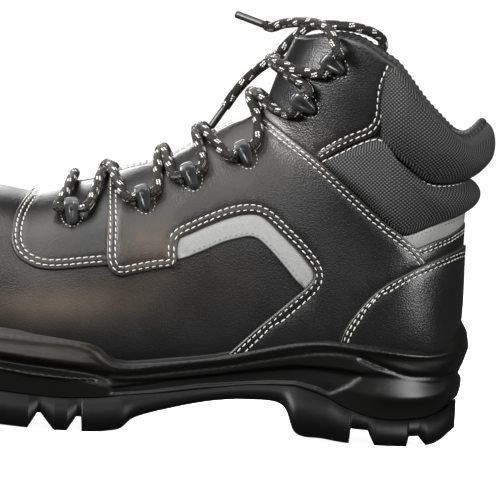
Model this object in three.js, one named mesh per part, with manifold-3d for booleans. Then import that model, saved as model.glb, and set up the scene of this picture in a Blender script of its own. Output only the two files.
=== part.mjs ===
// Left safety boot: a padded ankle boot of smooth leather on a moulded lugged sole.
// +X points to the toe, +Y to the outer side of the left foot, +Z up. All lengths are millimetres.
// Every outline is written in shares: x of LENGTH from the back of the heel, z of BOOT_HEIGHT from the floor,
// and widths of BALL_WIDTH from the middle line.
import * as THREE from 'three';
import { mergeVertices } from 'three/addons/utils/BufferGeometryUtils.js';
import Module from 'manifold-3d';

const wasm = await Module();
wasm.setup();

// Driving dimensions
const LENGTH = 300; // outsole, heel to toe
const BOOT_HEIGHT = 176; // floor to the top of the facing
const BALL_WIDTH = 107; // outsole across the ball
const WALL = 3; // leather and lining together
const OVERLAY = 1.7; // a panel sewn on the wall
const STRIP = 0.8; // reflective tape
const GAP = 0.3; // between curved pieces that meet
const TONGUE = 5; // padded tongue
const INSOLE = 5; // footbed
const LOWER_ROLL = 5.2; // foam bulge of the lower collar roll
const UPPER_ROLL = 8.6; // foam bulge of the upper collar roll
const ROLL_EDGE = 1.2; // a collar roll at its seams
const SIDE_RELIEF = 4; // hollows and bulges of the sole's side wall
const TREAD_INSET = 1.2; // of the lugs' feet from the sole's edge
const GROOVE_DEPTH = 7; // deepest groove across the tread
const CHANNEL_WIDTH = 6; // groove along the middle of the tread
const CHANNEL_DEPTH = 5;
const LACE = 4.4; // lace diameter
const AGLET = 3.2; // aglet diameter
const AGLET_LENGTH = 14;
const LOOP_LENGTH = 11;
const LOOP_WIDTH = 6.6;
const LOOP_TIP_WIDTH = 2.8;
const LOOP_HEIGHT = 8;
const LOOP_TIP_HEIGHT = 1.6;
const LOOP_END_WALL = 1.1; // between a loop's tunnel and its wide end
const LOOP_BASE_WALL = 0.9; // between a loop's tunnel and its base
const TUNNEL_CLEARANCE = 0.7; // between lace and loop
const LACE_LEAD = 2.7; // straight lace beyond a tunnel
const LACE_RIDE = 4.8; // lace centre over the last
const BAR_SHIFT = 0.15; // rows the lowest bar runs up the ridge
const LACE_STEPS = 56;
const LACE_END_STEPS = 22;
const LOOP_SEAT = 0.55; // under the flat base of a loop on the curved facing
const THROAT_HALF = 15; // half the gap between the facings at the instep
const THROAT_DEPTH = 22; // of the throat's cut from the ridge
const TONGUE_HALF = 27;
const TONGUE_DEPTH = 36; // reach of the tongue's sides from the ridge
const RIDGE_CLEAR = 30; // above the ridge in a cut along it
const THROAT_FROM = 10.5; // section row of the front end of the throat
const TONGUE_FROM = 9.5; // section row of the front end of the tongue

// Mesh fineness
const AROUND = 10; // steps round half a section
const PER_ROW = 1; // steps between two rows of the section table
const PLAN_STEPS = 28; // stations along the sole
const TUBE_SIDES = 8;

// One row for each section of the last, toe to collar. A section runs in the side view from its top point on the
// ridge to its bottom point under the foot or behind the heel, and swells to each side between them.
const SECTION_COLUMNS = [
  'topX', 'topZ', 'bottomX', 'bottomZ', 'centre', 'outer', 'inner', 'widest', 'topRound', 'bottomRound'];
const SECTION_ROWS = [
  [0.9767, 0.312, 0.9767, 0.256, -0.037, 0.006, 0.006, 0.50, 2.0, 2.0],
  [0.9727, 0.358, 0.9727, 0.205, -0.037, 0.075, 0.075, 0.52, 2.0, 2.2],
  [0.9600, 0.409, 0.9600, 0.165, -0.036, 0.159, 0.164, 0.55, 2.1, 2.4],
  [0.9367, 0.466, 0.9367, 0.136, -0.034, 0.243, 0.248, 0.58, 2.2, 2.6],
  [0.9033, 0.517, 0.9033, 0.116, -0.031, 0.322, 0.313, 0.61, 2.3, 2.8],
  [0.8567, 0.560, 0.8567, 0.108, -0.027, 0.388, 0.360, 0.64, 2.4, 3.0],
  [0.8000, 0.583, 0.8000, 0.102, -0.020, 0.434, 0.393, 0.65, 2.5, 3.0],
  [0.7400, 0.587, 0.7400, 0.102, -0.014, 0.460, 0.414, 0.65, 2.5, 3.0],
  [0.6833, 0.579, 0.6833, 0.102, -0.009, 0.472, 0.422, 0.65, 2.4, 3.0],
  [0.6333, 0.573, 0.6400, 0.102, -0.006, 0.472, 0.419, 0.66, 2.3, 3.0],
  [0.5933, 0.596, 0.6000, 0.102, -0.003, 0.463, 0.406, 0.67, 2.25, 3.0],
  [0.5467, 0.6157, 0.5600, 0.102, 0, 0.448, 0.388, 0.69, 2.3, 3.0],
  [0.4933, 0.6546, 0.5167, 0.102, 0, 0.430, 0.366, 0.71, 2.3, 3.0],
  [0.4400, 0.6934, 0.4700, 0.102, 0, 0.407, 0.348, 0.73, 2.3, 3.0],
  [0.3933, 0.7440, 0.4133, 0.102, 0, 0.385, 0.338, 0.74, 2.3, 2.9],
  [0.3613, 0.7810, 0.3267, 0.102, 0, 0.371, 0.336, 0.73, 2.3, 2.8],
  [0.3410, 0.8050, 0.2133, 0.102, 0, 0.362, 0.336, 0.71, 2.3, 2.5],
  [0.3290, 0.8270, 0.1000, 0.102, 0, 0.353, 0.336, 0.69, 2.3, 2.2],
  [0.3210, 0.8480, 0.0300, 0.153, 0, 0.346, 0.336, 0.65, 2.3, 2.0],
  [0.3143, 0.8700, 0.0200, 0.312, 0, 0.343, 0.335, 0.62, 2.3, 2.0],
  [0.3077, 0.8940, 0.0200, 0.466, 0, 0.344, 0.337, 0.60, 2.3, 2.0],
  [0.2998, 0.9210, 0.0183, 0.597, 0, 0.348, 0.342, 0.58, 2.3, 2.0],
  [0.2910, 0.9540, 0.0110, 0.710, 0, 0.354, 0.348, 0.57, 2.3, 2.0],
  [0.2828, 0.9900, -0.0110, 0.812, 0, 0.358, 0.353, 0.56, 2.3, 2.0],
  [0.2760, 1.0300, -0.0190, 0.909, 0, 0.360, 0.356, 0.56, 2.3, 2.0],
  [0.2700, 1.0720, -0.0210, 1.011, 0, 0.360, 0.356, 0.56, 2.3, 2.0],
];

// Outer edge of the sole seen from above: half widths at stations from the back of the heel to the toe.
const PLAN_COLUMNS = ['x', 'outer', 'inner'];
const PLAN_ROWS = [
  [0.0000, 0.000, 0.000],
  [0.0070, 0.110, 0.108],
  [0.0300, 0.224, 0.220],
  [0.0700, 0.315, 0.308],
  [0.1250, 0.368, 0.357],
  [0.1900, 0.384, 0.366],
  [0.2700, 0.384, 0.360],
  [0.3500, 0.392, 0.352],
  [0.4300, 0.418, 0.356],
  [0.5100, 0.454, 0.384],
  [0.5900, 0.489, 0.428],
  [0.6700, 0.509, 0.467],
  [0.7400, 0.507, 0.487],
  [0.8000, 0.486, 0.487],
  [0.8600, 0.440, 0.468],
  [0.9100, 0.374, 0.427],
  [0.9500, 0.288, 0.366],
  [0.9800, 0.180, 0.284],
  [0.9950, 0.068, 0.186],
  [1.0000, -0.055, 0.055],
];

// Heights along the sole: under the lugs, where midsole meets outsole, the cup's floor and the lip's top.
const HEIGHT_COLUMNS = ['x', 'under', 'split', 'floor', 'lip'];
const HEIGHT_ROWS = [
  [0.000, 0.058, 0.120, 0.170, 0.306],
  [0.015, 0.042, 0.108, 0.170, 0.275],
  [0.040, 0.010, 0.079, 0.170, 0.245],
  [0.080, 0.000, 0.066, 0.170, 0.241],
  [0.126, 0.000, 0.067, 0.170, 0.247],
  [0.170, 0.004, 0.089, 0.170, 0.253],
  [0.200, 0.011, 0.114, 0.170, 0.256],
  [0.240, 0.021, 0.134, 0.168, 0.251],
  [0.262, 0.088, 0.136, 0.167, 0.245],
  [0.310, 0.097, 0.133, 0.163, 0.226],
  [0.366, 0.088, 0.120, 0.158, 0.204],
  [0.425, 0.065, 0.105, 0.152, 0.190],
  [0.472, 0.040, 0.096, 0.148, 0.180],
  [0.492, 0.012, 0.092, 0.146, 0.179],
  [0.512, 0.004, 0.087, 0.144, 0.187],
  [0.535, 0.000, 0.083, 0.142, 0.215],
  [0.585, 0.000, 0.080, 0.139, 0.232],
  [0.640, 0.005, 0.086, 0.137, 0.240],
  [0.700, 0.015, 0.097, 0.138, 0.248],
  [0.780, 0.046, 0.122, 0.152, 0.260],
  [0.860, 0.088, 0.152, 0.180, 0.274],
  [0.940, 0.138, 0.185, 0.214, 0.292],
  [1.000, 0.178, 0.210, 0.240, 0.300],
];

// Side wall of the midsole from split to lip. Each row is one place along the sole: the share of the wall's height
// and the inset, as a share of SIDE_RELIEF, of the lower bulge, the notch, the step, the face and the shoulder, and
// the insets of the foot and the lip.
const SIDE_COLUMNS = ['x', 'bulgeUp', 'bulge', 'notchUp', 'notch', 'stepUp', 'step', 'faceUp', 'face',
  'shoulderUp', 'shoulder', 'foot', 'lip'];
const SIDE_ROWS = [
  [0.00, 0.30, 0.65, 0.36, 0.85, 0.44, 0.55, 0.66, 0, 0.88, 0.30, 1.00, 0.90],
  [0.10, 0.30, 0.225, 0.58, 0.55, 0.66, 0.225, 0.82, 0.275, 0.92, 0.10, 0.75, 0.65],
  [0.22, 0.24, 0.60, 0.42, 0.60, 0.48, 0.225, 0.72, 0.05, 0.92, 0.10, 0.65, 0.60],
  [0.38, 0.10, 0.65, 0.34, 0.65, 0.40, 0.25, 0.66, 0.10, 0.88, 0.125, 0.65, 0.65],
  [0.50, 0.20, 0.35, 0.38, 0.40, 0.48, 0.225, 0.66, 0.075, 0.90, 0.25, 0.45, 0.70],
  [0.58, 0.34, 0.125, 0.42, 0.65, 0.52, 0.60, 0.60, 0, 0.88, 0.60, 0.45, 1.00],
  [0.68, 0.36, 0.10, 0.44, 0.70, 0.54, 0.65, 0.60, 0, 0.88, 0.65, 0.45, 1.05],
  [1.00, 0.34, 0.10, 0.42, 0.70, 0.54, 0.65, 0.60, 0, 0.86, 0.70, 0.45, 1.15],
];

// Tread grooves across the sole: rear and front edge at the floor, the narrower roof above them and its height as a
// share of GROOVE_DEPTH.
const GROOVE_COLUMNS = ['rearFloor', 'rearRoof', 'frontRoof', 'frontFloor', 'depth'];
const GROOVE_ROWS = [
  [0.052, 0.064, 0.077, 0.080, 0.63],
  [0.126, 0.137, 0.161, 0.163, 0.91],
  [0.547, 0.549, 0.556, 0.569, 0.91],
  [0.587, 0.607, 0.612, 0.625, 1.00],
  [0.668, 0.680, 0.690, 0.702, 0.91],
  [0.742, 0.752, 0.762, 0.774, 0.89],
  [0.814, 0.824, 0.834, 0.846, 0.86],
  [0.882, 0.892, 0.902, 0.912, 0.80],
];

// Seams and edges in the side view, as [x, z]
const COLLAR_LINE = [
  [0.36, 0.980], [0.285, 0.9835], [0.254, 0.983], [0.237, 0.988], [0.204, 0.994], [0.176, 0.983], [0.145, 0.952],
  [0.124, 0.930], [0.103, 0.890], [0.080, 0.843], [0.058, 0.807], [0.033, 0.771], [0.020, 0.764], [0.010, 0.768],
  [0.000, 0.781], [-0.009, 0.801], [-0.014, 0.813], [-0.024, 0.825], [-0.060, 0.832]];
const ROLL_SEAM = [
  [0.1410, 0.756], [0.1213, 0.714], [0.0977, 0.680], [0.0737, 0.651], [0.0553, 0.647], [0.0327, 0.652],
  [0.0010, 0.667], [-0.05, 0.680]];
const ROLL_FOOT = [
  [0.2227, 0.688], [0.160, 0.600], [0.1017, 0.519], [0.0890, 0.524], [0.0697, 0.539], [0.0480, 0.554],
  [0.0267, 0.569], [0.0160, 0.580], [0.0063, 0.591], [-0.05, 0.625]];
const STRIP_FOOT = [
  [0.110, 0.478], [0.0833, 0.4875], [0.0577, 0.507], [0.0360, 0.523], [0.0193, 0.544], [0.0100, 0.565],
  [-0.05, 0.600]];
const COUNTER_TOP = [
  [0.1900, 0.225], [0.1830, 0.256], [0.1770, 0.2835], [0.1600, 0.328], [0.1427, 0.365], [0.1210, 0.398],
  [0.0990, 0.423], [0.0743, 0.447], [0.0453, 0.4705], [0.0240, 0.487], [0.0150, 0.497], [-0.05, 0.530]];
const FACING_REAR = [
  [0.3640, 0.860], [0.3230, 0.802], [0.2283, 0.6915], [0.1360, 0.560], [0.1017, 0.515], [0.0810, 0.486],
  [0.0680, 0.452]];
const FACING_FOOT = [
  [0.5290, 0.640], [0.5260, 0.500], [0.5243, 0.420], [0.5200, 0.3995], [0.5100, 0.386], [0.5013, 0.3845],
  [0.4867, 0.391], [0.4543, 0.404], [0.4260, 0.4135]];
const WINDOW_EDGE = [
  [0.4250, 0.4295], [0.4253, 0.469], [0.4223, 0.482], [0.4087, 0.494], [0.3767, 0.521], [0.3523, 0.5385],
  [0.3313, 0.548], [0.3113, 0.549], [0.2980, 0.5375], [0.2773, 0.507], [0.2513, 0.4675], [0.2357, 0.438],
  [0.2267, 0.4165], [0.2270, 0.3995], [0.2387, 0.3745]];
const FACING_LOWER = [[0.3077, 0.267], [0.3450, 0.205]];
const STRIP_INNER = [
  [0.2523, 0.397], [0.2753, 0.440], [0.2977, 0.477], [0.3097, 0.492], [0.3213, 0.4965],
  [0.3343, 0.492], [0.3587, 0.479], [0.3830, 0.459], [0.4070, 0.440]];
const TOP_FACING_REAR = [
  [0.1150, 0.960], [0.1267, 0.923], [0.1337, 0.887], [0.1360, 0.848], [0.1370, 0.809], [0.1420, 0.781],
  [0.1527, 0.761], [0.1793, 0.739], [0.2060, 0.713], [0.2237, 0.690]];
const FRONT_FACING = [
  [0.6200, 0.640], [0.6327, 0.5745], [0.6483, 0.5505], [0.6590, 0.519], [0.6633, 0.479], [0.6613, 0.4455],
  [0.6523, 0.419], [0.6387, 0.403], [0.6220, 0.393], [0.6020, 0.391], [0.5777, 0.3955], [0.5450, 0.404],
  [0.5220, 0.4085], [0.5220, 0.640]];

// Each lace loop: the wide end near the throat, then the pointed end, as [x, z] in the side view.
const LOOPS = [
  { wide: [0.5770, 0.543], tip: [0.5763, 0.485] },
  { wide: [0.4833, 0.589], tip: [0.4690, 0.528] },
  { wide: [0.4153, 0.651], tip: [0.4010, 0.590] },
  { wide: [0.3450, 0.713], tip: [0.3230, 0.6545] },
  { wide: [0.2597, 0.846], tip: [0.2317, 0.806] },
  { wide: [0.2223, 0.9425], tip: [0.1957, 0.907] },
];

// Free lace ends, as points [x, y, z] in shares, chosen by hand
const OUTER_END = [
  [0.212, 0.420, 0.985], [0.220, 0.385, 1.018], [0.236, 0.290, 1.038], [0.262, 0.165, 1.040], [0.290, 0.075, 1.026],
  [0.306, 0.045, 1.0165], [0.316, 0.040, 1.0185]];
const INNER_END = [
  [0.175, -0.425, 0.975], [0.158, -0.415, 1.000], [0.152, -0.350, 1.024], [0.166, -0.285, 1.036],
  [0.194, -0.240, 1.038], [0.226, -0.220, 1.032], [0.256, -0.235, 1.012], [0.284, -0.280, 0.976],
  [0.312, -0.315, 0.930], [0.340, -0.335, 0.874], [0.362, -0.345, 0.810], [0.374, -0.352, 0.750]];

const x = (share) => share * LENGTH;
const z = (share) => share * BOOT_HEIGHT;
const y = (share) => share * BALL_WIDTH;
const mix = (a, b, t) => a + (b - a) * t;

// Turns rows of numbers into rows with named columns.
function table(columns, rows) {
  return rows.map((row) => Object.fromEntries(columns.map((name, i) => [name, row[i]])));
}

const SECTIONS = table(SECTION_COLUMNS, SECTION_ROWS);
const PLAN = table(PLAN_COLUMNS, PLAN_ROWS);
const HEIGHTS = table(HEIGHT_COLUMNS, HEIGHT_ROWS);
const SIDES = table(SIDE_COLUMNS, SIDE_ROWS);
const GROOVES = table(GROOVE_COLUMNS, GROOVE_ROWS);
const LAST_SECTION = SECTIONS.length - 1;

// Catmull-Rom value of one column at a place counted in rows.
function smooth(rows, name, place) {
  const last = rows.length - 1;
  const i = Math.min(Math.floor(place), last - 1);
  const t = place - i;
  const at = (k) => rows[Math.max(0, Math.min(last, k))][name];
  const [a, b, c, d] = [at(i - 1), at(i), at(i + 1), at(i + 2)];
  return b + 0.5 * t * (c - a + t * (2 * a - 5 * b + 4 * c - d + t * (3 * (b - c) + d - a)));
}

// Row place at which a column that only grows takes this value.
function placeOf(rows, name, value) {
  let low = 0;
  let high = rows.length - 1;
  for (let step = 0; step < 40; step++) {
    const middle = (low + high) / 2;
    if (smooth(rows, name, middle) < value) low = middle;
    else high = middle;
  }
  return low;
}

const soleHeight = (name, share) => z(Math.max(0, smooth(HEIGHTS, name, placeOf(HEIGHTS, 'x', share))));

// Section at place u: its ends in the side view, its half widths and its roundness.
function section(u) {
  const v = (name) => smooth(SECTIONS, name, u);
  return {
    top: [x(v('topX')), z(v('topZ'))], bottom: [x(v('bottomX')), z(v('bottomZ'))], centre: y(v('centre')),
    outer: y(v('outer')), inner: y(v('inner')), widest: v('widest'),
    topRound: v('topRound'), bottomRound: v('bottomRound'),
  };
}

// Point of the last: angle 0 is the ridge, plus or minus pi the bottom line, plus the outer side.
function lastPoint(u, angle) {
  const s = section(Math.max(0, Math.min(LAST_SECTION, u)));
  const wrapped = Math.atan2(Math.sin(angle), Math.cos(angle));
  const a = Math.abs(wrapped);
  const upper = a <= Math.PI / 2;
  const power = 2 / (upper ? s.topRound : s.bottomRound);
  const along = Math.abs(Math.cos(a)) ** power;
  const out = Math.abs(Math.sin(a)) ** power;
  const t = upper ? s.widest * (1 - along) : s.widest + (1 - s.widest) * along;
  const width = wrapped >= 0 ? s.outer : -s.inner;
  return new THREE.Vector3(
    mix(s.top[0], s.bottom[0], t), s.centre + width * out, mix(s.top[1], s.bottom[1], t));
}

// Outward normal of the last, from the slopes along and around it.
function lastNormal(u, angle) {
  const du = 0.02;
  const da = 0.02;
  const along = lastPoint(u + du, angle).sub(lastPoint(u - du, angle));
  const around = lastPoint(u, angle + da).sub(lastPoint(u, angle - da));
  return around.cross(along).normalize();
}

const offsetPoint = (u, angle, offset) => lastPoint(u, angle).addScaledVector(lastNormal(u, angle), offset);

// Place [u, angle] on the outer half that shows at a side-view point in millimetres.
function placeAt(px, pz) {
  let low = 0;
  let high = LAST_SECTION;
  for (let step = 0; step < 40; step++) {
    const middle = (low + high) / 2;
    const s = section(middle);
    const side = (px - s.top[0]) * (s.bottom[1] - s.top[1]) - (pz - s.top[1]) * (s.bottom[0] - s.top[0]);
    if (side > 0) low = middle;
    else high = middle;
  }
  const s = section(low);
  const axis = [s.bottom[0] - s.top[0], s.bottom[1] - s.top[1]];
  const reach = ((px - s.top[0]) * axis[0] + (pz - s.top[1]) * axis[1]) / (axis[0] ** 2 + axis[1] ** 2);
  const t = Math.max(0.0005, Math.min(0.9995, reach));
  const angle = t < s.widest
    ? Math.acos(((s.widest - t) / s.widest) ** (s.topRound / 2))
    : Math.PI - Math.acos(((t - s.widest) / (1 - s.widest)) ** (s.bottomRound / 2));
  return [low, angle];
}

// Closed mesh through rings of equal count. Ring points run out along one side and back along the other, so a cap
// is a ladder between the two sides.
function ringGeometry(rings) {
  const count = rings[0].length;
  const half = count / 2;
  const positions = rings.flat().flatMap((p) => [p.x, p.y, p.z]);
  const index = [];
  for (let r = 0; r + 1 < rings.length; r++) {
    for (let i = 0; i < count; i++) {
      const a = r * count + i;
      const b = r * count + ((i + 1) % count);
      index.push(a, b, a + count, b, b + count, a + count);
    }
  }
  const last = (rings.length - 1) * count;
  for (let i = 0; i < half; i++) {
    const [a, b, c, d] = [i, i + 1, (count - i) % count, (count - i - 1) % count];
    if (i > 0) index.push(a, c, b, last + a, last + b, last + c);
    if (i < half - 1) index.push(b, c, d, last + b, last + d, last + c);
  }
  const geometry = new THREE.BufferGeometry();
  geometry.setAttribute('position', new THREE.Float32BufferAttribute(positions, 3));
  geometry.setIndex(index);
  return geometry;
}

function toSolid(geometry) {
  const bare = geometry.clone();
  bare.deleteAttribute('normal');
  bare.deleteAttribute('uv');
  const merged = mergeVertices(bare, 1e-4);
  const triVerts = new Uint32Array(merged.index.array);
  const make = () => new wasm.Manifold(
    new wasm.Mesh({ numProp: 3, vertProperties: merged.attributes.position.array, triVerts }));
  const made = make();
  if (made.volume() > 0) return made;
  for (let i = 0; i < triVerts.length; i += 3) {
    [triVerts[i + 1], triVerts[i + 2]] = [triVerts[i + 2], triVerts[i + 1]];
  }
  return make();
}

function toGeometry(solid) {
  const mesh = solid.getMesh();
  const geometry = new THREE.BufferGeometry();
  geometry.setAttribute('position', new THREE.BufferAttribute(mesh.vertProperties, 3));
  geometry.setIndex(new THREE.BufferAttribute(mesh.triVerts, 1));
  return geometry;
}

// The last grown outwards by a fixed amount, or by a function of place and angle.
function lastSolid(offset, from = 0, perRow = PER_ROW) {
  const grown = typeof offset === 'function' ? offset : () => offset;
  const rings = [];
  for (let k = from * perRow; k <= LAST_SECTION * perRow; k++) {
    const u = k / perRow;
    const ring = [];
    for (let i = -AROUND; i < AROUND; i++) {
      const angle = (Math.PI * (i + AROUND)) / AROUND;
      ring.push(offsetPoint(u, angle, grown(u, Math.min(angle, 2 * Math.PI - angle))));
    }
    rings.push(ring);
  }
  return toSolid(ringGeometry(rings));
}

// Prism across the shoe over a side-view outline in shares, between two widths.
function sidePrism(outline, low = -BALL_WIDTH, high = BALL_WIDTH) {
  const shape = new THREE.Shape(outline.map(([a, b]) => new THREE.Vector2(x(a), z(b))));
  const prism = new THREE.ExtrudeGeometry(shape, { depth: high - low, bevelEnabled: false });
  return toSolid(prism.rotateX(Math.PI / 2).translate(0, high, 0));
}

// Outline moved outwards by a distance in millimetres, so that a neighbour keeps its gap.
function grow(outline, distance) {
  const points = outline.map(([a, b]) => new THREE.Vector2(x(a), z(b)));
  const turn = THREE.ShapeUtils.area(points) > 0 ? 1 : -1;
  const n = points.length;
  return points.map((p, i) => {
    const before = p.clone().sub(points[(i + n - 1) % n]).normalize();
    const after = points[(i + 1) % n].clone().sub(p).normalize();
    const normal = new THREE.Vector2(before.y + after.y, -before.x - after.x).multiplyScalar(turn).normalize();
    return [(p.x + normal.x * distance) / LENGTH, (p.y + normal.y * distance) / BOOT_HEIGHT];
  });
}

// Channel along the ridge from one section to another, with a half width worked out at each and one depth.
function ridgeChannel(from, to, halfWidth, depth) {
  const rings = [];
  for (let u = from; u <= to + 1e-6; u += 0.5) {
    const s = section(u);
    const axis = new THREE.Vector2(s.bottom[0] - s.top[0], s.bottom[1] - s.top[1]).normalize();
    const half = halfWidth(u);
    const corner = (down, across) => new THREE.Vector3(
      s.top[0] + axis.x * down, s.centre + across, s.top[1] + axis.y * down);
    rings.push([
      corner(-RIDGE_CLEAR, -half), corner(-RIDGE_CLEAR, half), corner(depth, half), corner(depth, -half)]);
  }
  return toSolid(ringGeometry(rings));
}

// Closed outline of the sole at a share of its own side wall: plan points moved in by an inset.
function soleRing(insetAt, heightAt) {
  const stations = Array.from({ length: PLAN_STEPS + 1 }, (_, i) => (i * (PLAN.length - 1)) / PLAN_STEPS);
  const edge = (name, sign) => stations.map((k) => {
    const share = smooth(PLAN, 'x', k);
    return { share, point: new THREE.Vector2(x(share), sign * y(smooth(PLAN, name, k))) };
  });
  const outer = edge('outer', 1);
  const inner = edge('inner', -1).slice(1, -1).reverse();
  const loop = [...outer, ...inner];
  const n = loop.length;
  return loop.map(({ share, point }, i) => {
    const tangent = loop[(i + 1) % n].point.clone().sub(loop[(i + n - 1) % n].point).normalize();
    const inset = insetAt(share);
    const px = point.x + tangent.y * inset;
    return new THREE.Vector3(px, point.y - tangent.x * inset, heightAt(px / LENGTH));
  });
}

// Side wall value of a level at a station along the sole, and its inset in millimetres.
const side = (name, share) => smooth(SIDES, name, placeOf(SIDES, 'x', share));
const sideInset = (name, share) => SIDE_RELIEF * side(name, share);
const MID_LEVELS = [
  ['foot', null], ['bulge', 'bulgeUp'], ['notch', 'notchUp'], ['step', 'stepUp'], ['face', 'faceUp'],
  ['shoulder', 'shoulderUp'], ['lip', 'lipUp']];

function midsoleBlock() {
  const rings = MID_LEVELS.map(([inset, level]) => soleRing(
    (share) => sideInset(inset, share),
    (share) => {
      const low = soleHeight('split', share) + GAP;
      const high = soleHeight('lip', share);
      if (level === null) return low;
      return level === 'lipUp' ? high : mix(low, high, side(level, share));
    }));
  return toSolid(ringGeometry(rings));
}

// Outline of everything above a line of the sole, for cutting in the side view.
function aboveSole(name, lift, ceiling = 1.4) {
  const rows = HEIGHTS.flatMap((row, k) => (k + 1 < HEIGHTS.length ? [k, k + 0.5] : [k]));
  const line = rows.map((k) => smooth(HEIGHTS, 'x', k))
    .map((share) => [share, (soleHeight(name, share) + lift) / BOOT_HEIGHT]);
  const first = line[0];
  const last = line[line.length - 1];
  return [[-0.2, first[1]], ...line, [1.2, last[1]], [1.2, ceiling], [-0.2, ceiling]];
}

const belowCollar = (drop) => [
  ...COLLAR_LINE.map(([a, b]) => [a, b - drop / BOOT_HEIGHT]), [-0.2, 0.832 - drop / BOOT_HEIGHT], [-0.2, -0.2],
  [1.2, -0.2], [1.2, 0.980 - drop / BOOT_HEIGHT]];

const last = lastSolid(0);
const lastWithGap = lastSolid(GAP);
const lining = lastSolid(-WALL);
const panelSkin = lastSolid(GAP + OVERLAY).subtract(lastWithGap);
const tapeSkin = lastSolid(GAP + STRIP).subtract(lastWithGap);
const aboveLip = sidePrism(aboveSole('lip', GAP));
const underCollar = sidePrism(belowCollar(0));
const outerHalf = sidePrism([[-0.2, -0.2], [1.2, -0.2], [1.2, 1.4], [-0.2, 1.4]], 0, BALL_WIDTH);
const innerHalf = sidePrism([[-0.2, -0.2], [1.2, -0.2], [1.2, 1.4], [-0.2, 1.4]], -BALL_WIDTH, 0);

const throatHalf = (u) => THROAT_HALF * Math.min(1, 0.45 + 0.25 * (u - THROAT_FROM));
const throat = ridgeChannel(THROAT_FROM, LAST_SECTION, throatHalf, THROAT_DEPTH);

function upper() {
  const cupFloor = sidePrism(aboveSole('floor', GAP));
  return last.subtract(lining).intersect(cupFloor).intersect(sidePrism(belowCollar(GAP))).subtract(throat);
}

function midsole() {
  const cup = lastWithGap.intersect(sidePrism(aboveSole('floor', 0)));
  return midsoleBlock().subtract(cup).subtract(sidePrism(aboveSole('lip', 0)));
}

// Groove across the sole over its side-view trapezium.
function groove({ rearFloor, rearRoof, frontRoof, frontFloor, depth }) {
  const floor = (share) => soleHeight('under', share) / BOOT_HEIGHT;
  const roof = (share) => floor(share) + (depth * GROOVE_DEPTH) / BOOT_HEIGHT;
  return sidePrism([[rearFloor, -0.1], [frontFloor, -0.1], [frontFloor, floor(frontFloor)],
    [frontRoof, roof(frontRoof)], [rearRoof, roof(rearRoof)], [rearFloor, floor(rearFloor)]]);
}

// Zigzag channel along the middle of the tread, as an upright prism under a roof.
function middleChannel(fromShare, toShare, teeth) {
  const swing = 0.05;
  const left = [];
  const right = [];
  for (let i = 0; i <= teeth; i++) {
    const share = mix(fromShare, toShare, i / teeth);
    const middle = y(i % 2 ? swing : -swing) - y(0.02);
    left.push(new THREE.Vector2(x(share), middle + CHANNEL_WIDTH / 2));
    right.unshift(new THREE.Vector2(x(share), middle - CHANNEL_WIDTH / 2));
  }
  const prism = new THREE.ExtrudeGeometry(new THREE.Shape([...left, ...right]), {
    depth: BOOT_HEIGHT, bevelEnabled: false });
  const under = HEIGHTS.filter((row) => row.x > fromShare - 0.1 && row.x < toShare + 0.1);
  const roof = under.map((row) => [row.x, row.under + CHANNEL_DEPTH / BOOT_HEIGHT]);
  const cover = sidePrism([[under[0].x, -0.2], ...roof, [under[under.length - 1].x, -0.2]]);
  return toSolid(prism.translate(0, 0, -BOOT_HEIGHT / 2)).intersect(cover);
}

function outsole() {
  const foot = (share) => sideInset('foot', share);
  const block = toSolid(ringGeometry([
    soleRing((share) => foot(share) + TREAD_INSET, () => 0),
    soleRing(foot, (share) => 0.5 * soleHeight('split', share)),
    soleRing(foot, (share) => soleHeight('split', share)),
  ]));
  const cuts = [...GROOVES.map(groove), middleChannel(0.03, 0.24, 3), middleChannel(0.50, 0.93, 6)];
  return cuts.reduce((solid, cut) => solid.subtract(cut), block.intersect(sidePrism(aboveSole('under', 0))));
}

// Footbed on the cup floor inside the lining.
function insole() {
  const inside = lastSolid(-WALL - GAP);
  const slab = sidePrism(aboveSole('floor', GAP))
    .subtract(sidePrism(aboveSole('floor', GAP + INSOLE)));
  return inside.intersect(slab);
}

function tongue() {
  const outside = lastSolid(-WALL - GAP);
  const inside = lastSolid(-WALL - GAP - TONGUE);
  const reach = ridgeChannel(TONGUE_FROM, LAST_SECTION, () => TONGUE_HALF, TONGUE_DEPTH);
  const top = sidePrism([[-0.2, -0.2], [1.2, -0.2], [1.2, 0.985], [-0.2, 0.985]]);
  return outside.subtract(inside).intersect(reach).intersect(top);
}

// Outlines of the panels, closed
const facingOutline = [
  ...FACING_FOOT, ...WINDOW_EDGE, ...FACING_LOWER, [0.19, 0.205], ...COUNTER_TOP.slice(0, 8), [0.0680, 0.452],
  ...FACING_REAR.slice(0, -1).reverse(), [0.40, 1.0], [0.56, 0.85]];
const counterOutline = [...COUNTER_TOP, [-0.05, 0.1], [0.1905, 0.1]];
const tapeOutline = [...WINDOW_EDGE, ...STRIP_INNER];
const topFacingOutline = [...TOP_FACING_REAR, [0.3230, 0.802], [0.45, 0.95], [0.45, 1.3], [0.1150, 1.3]];
const bandOutline = [...STRIP_FOOT, ...[...COUNTER_TOP.slice(6)].reverse()];
const heelTapeOutline = [...STRIP_FOOT, ...[...ROLL_FOOT.slice(2)].reverse()];

const grown = (outline) => sidePrism(grow(outline, GAP + 0.1));
const facingPrism = sidePrism(facingOutline);
const facingKeep = grown(facingOutline);
const counterKeep = grown(counterOutline);
const topFacingKeep = grown(topFacingOutline);

function facing(half) {
  return panelSkin.intersect(facingPrism).subtract(counterKeep).intersect(aboveLip).subtract(throat).intersect(half);
}

function topFacing(half) {
  return panelSkin.intersect(sidePrism(topFacingOutline)).subtract(facingKeep).intersect(underCollar)
    .subtract(throat).intersect(half);
}

function frontFacing() {
  return panelSkin.intersect(sidePrism(FRONT_FACING)).subtract(facingKeep).subtract(throat);
}

function sideTape(half) {
  return tapeSkin.intersect(sidePrism(tapeOutline)).subtract(facingKeep).intersect(half);
}

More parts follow.
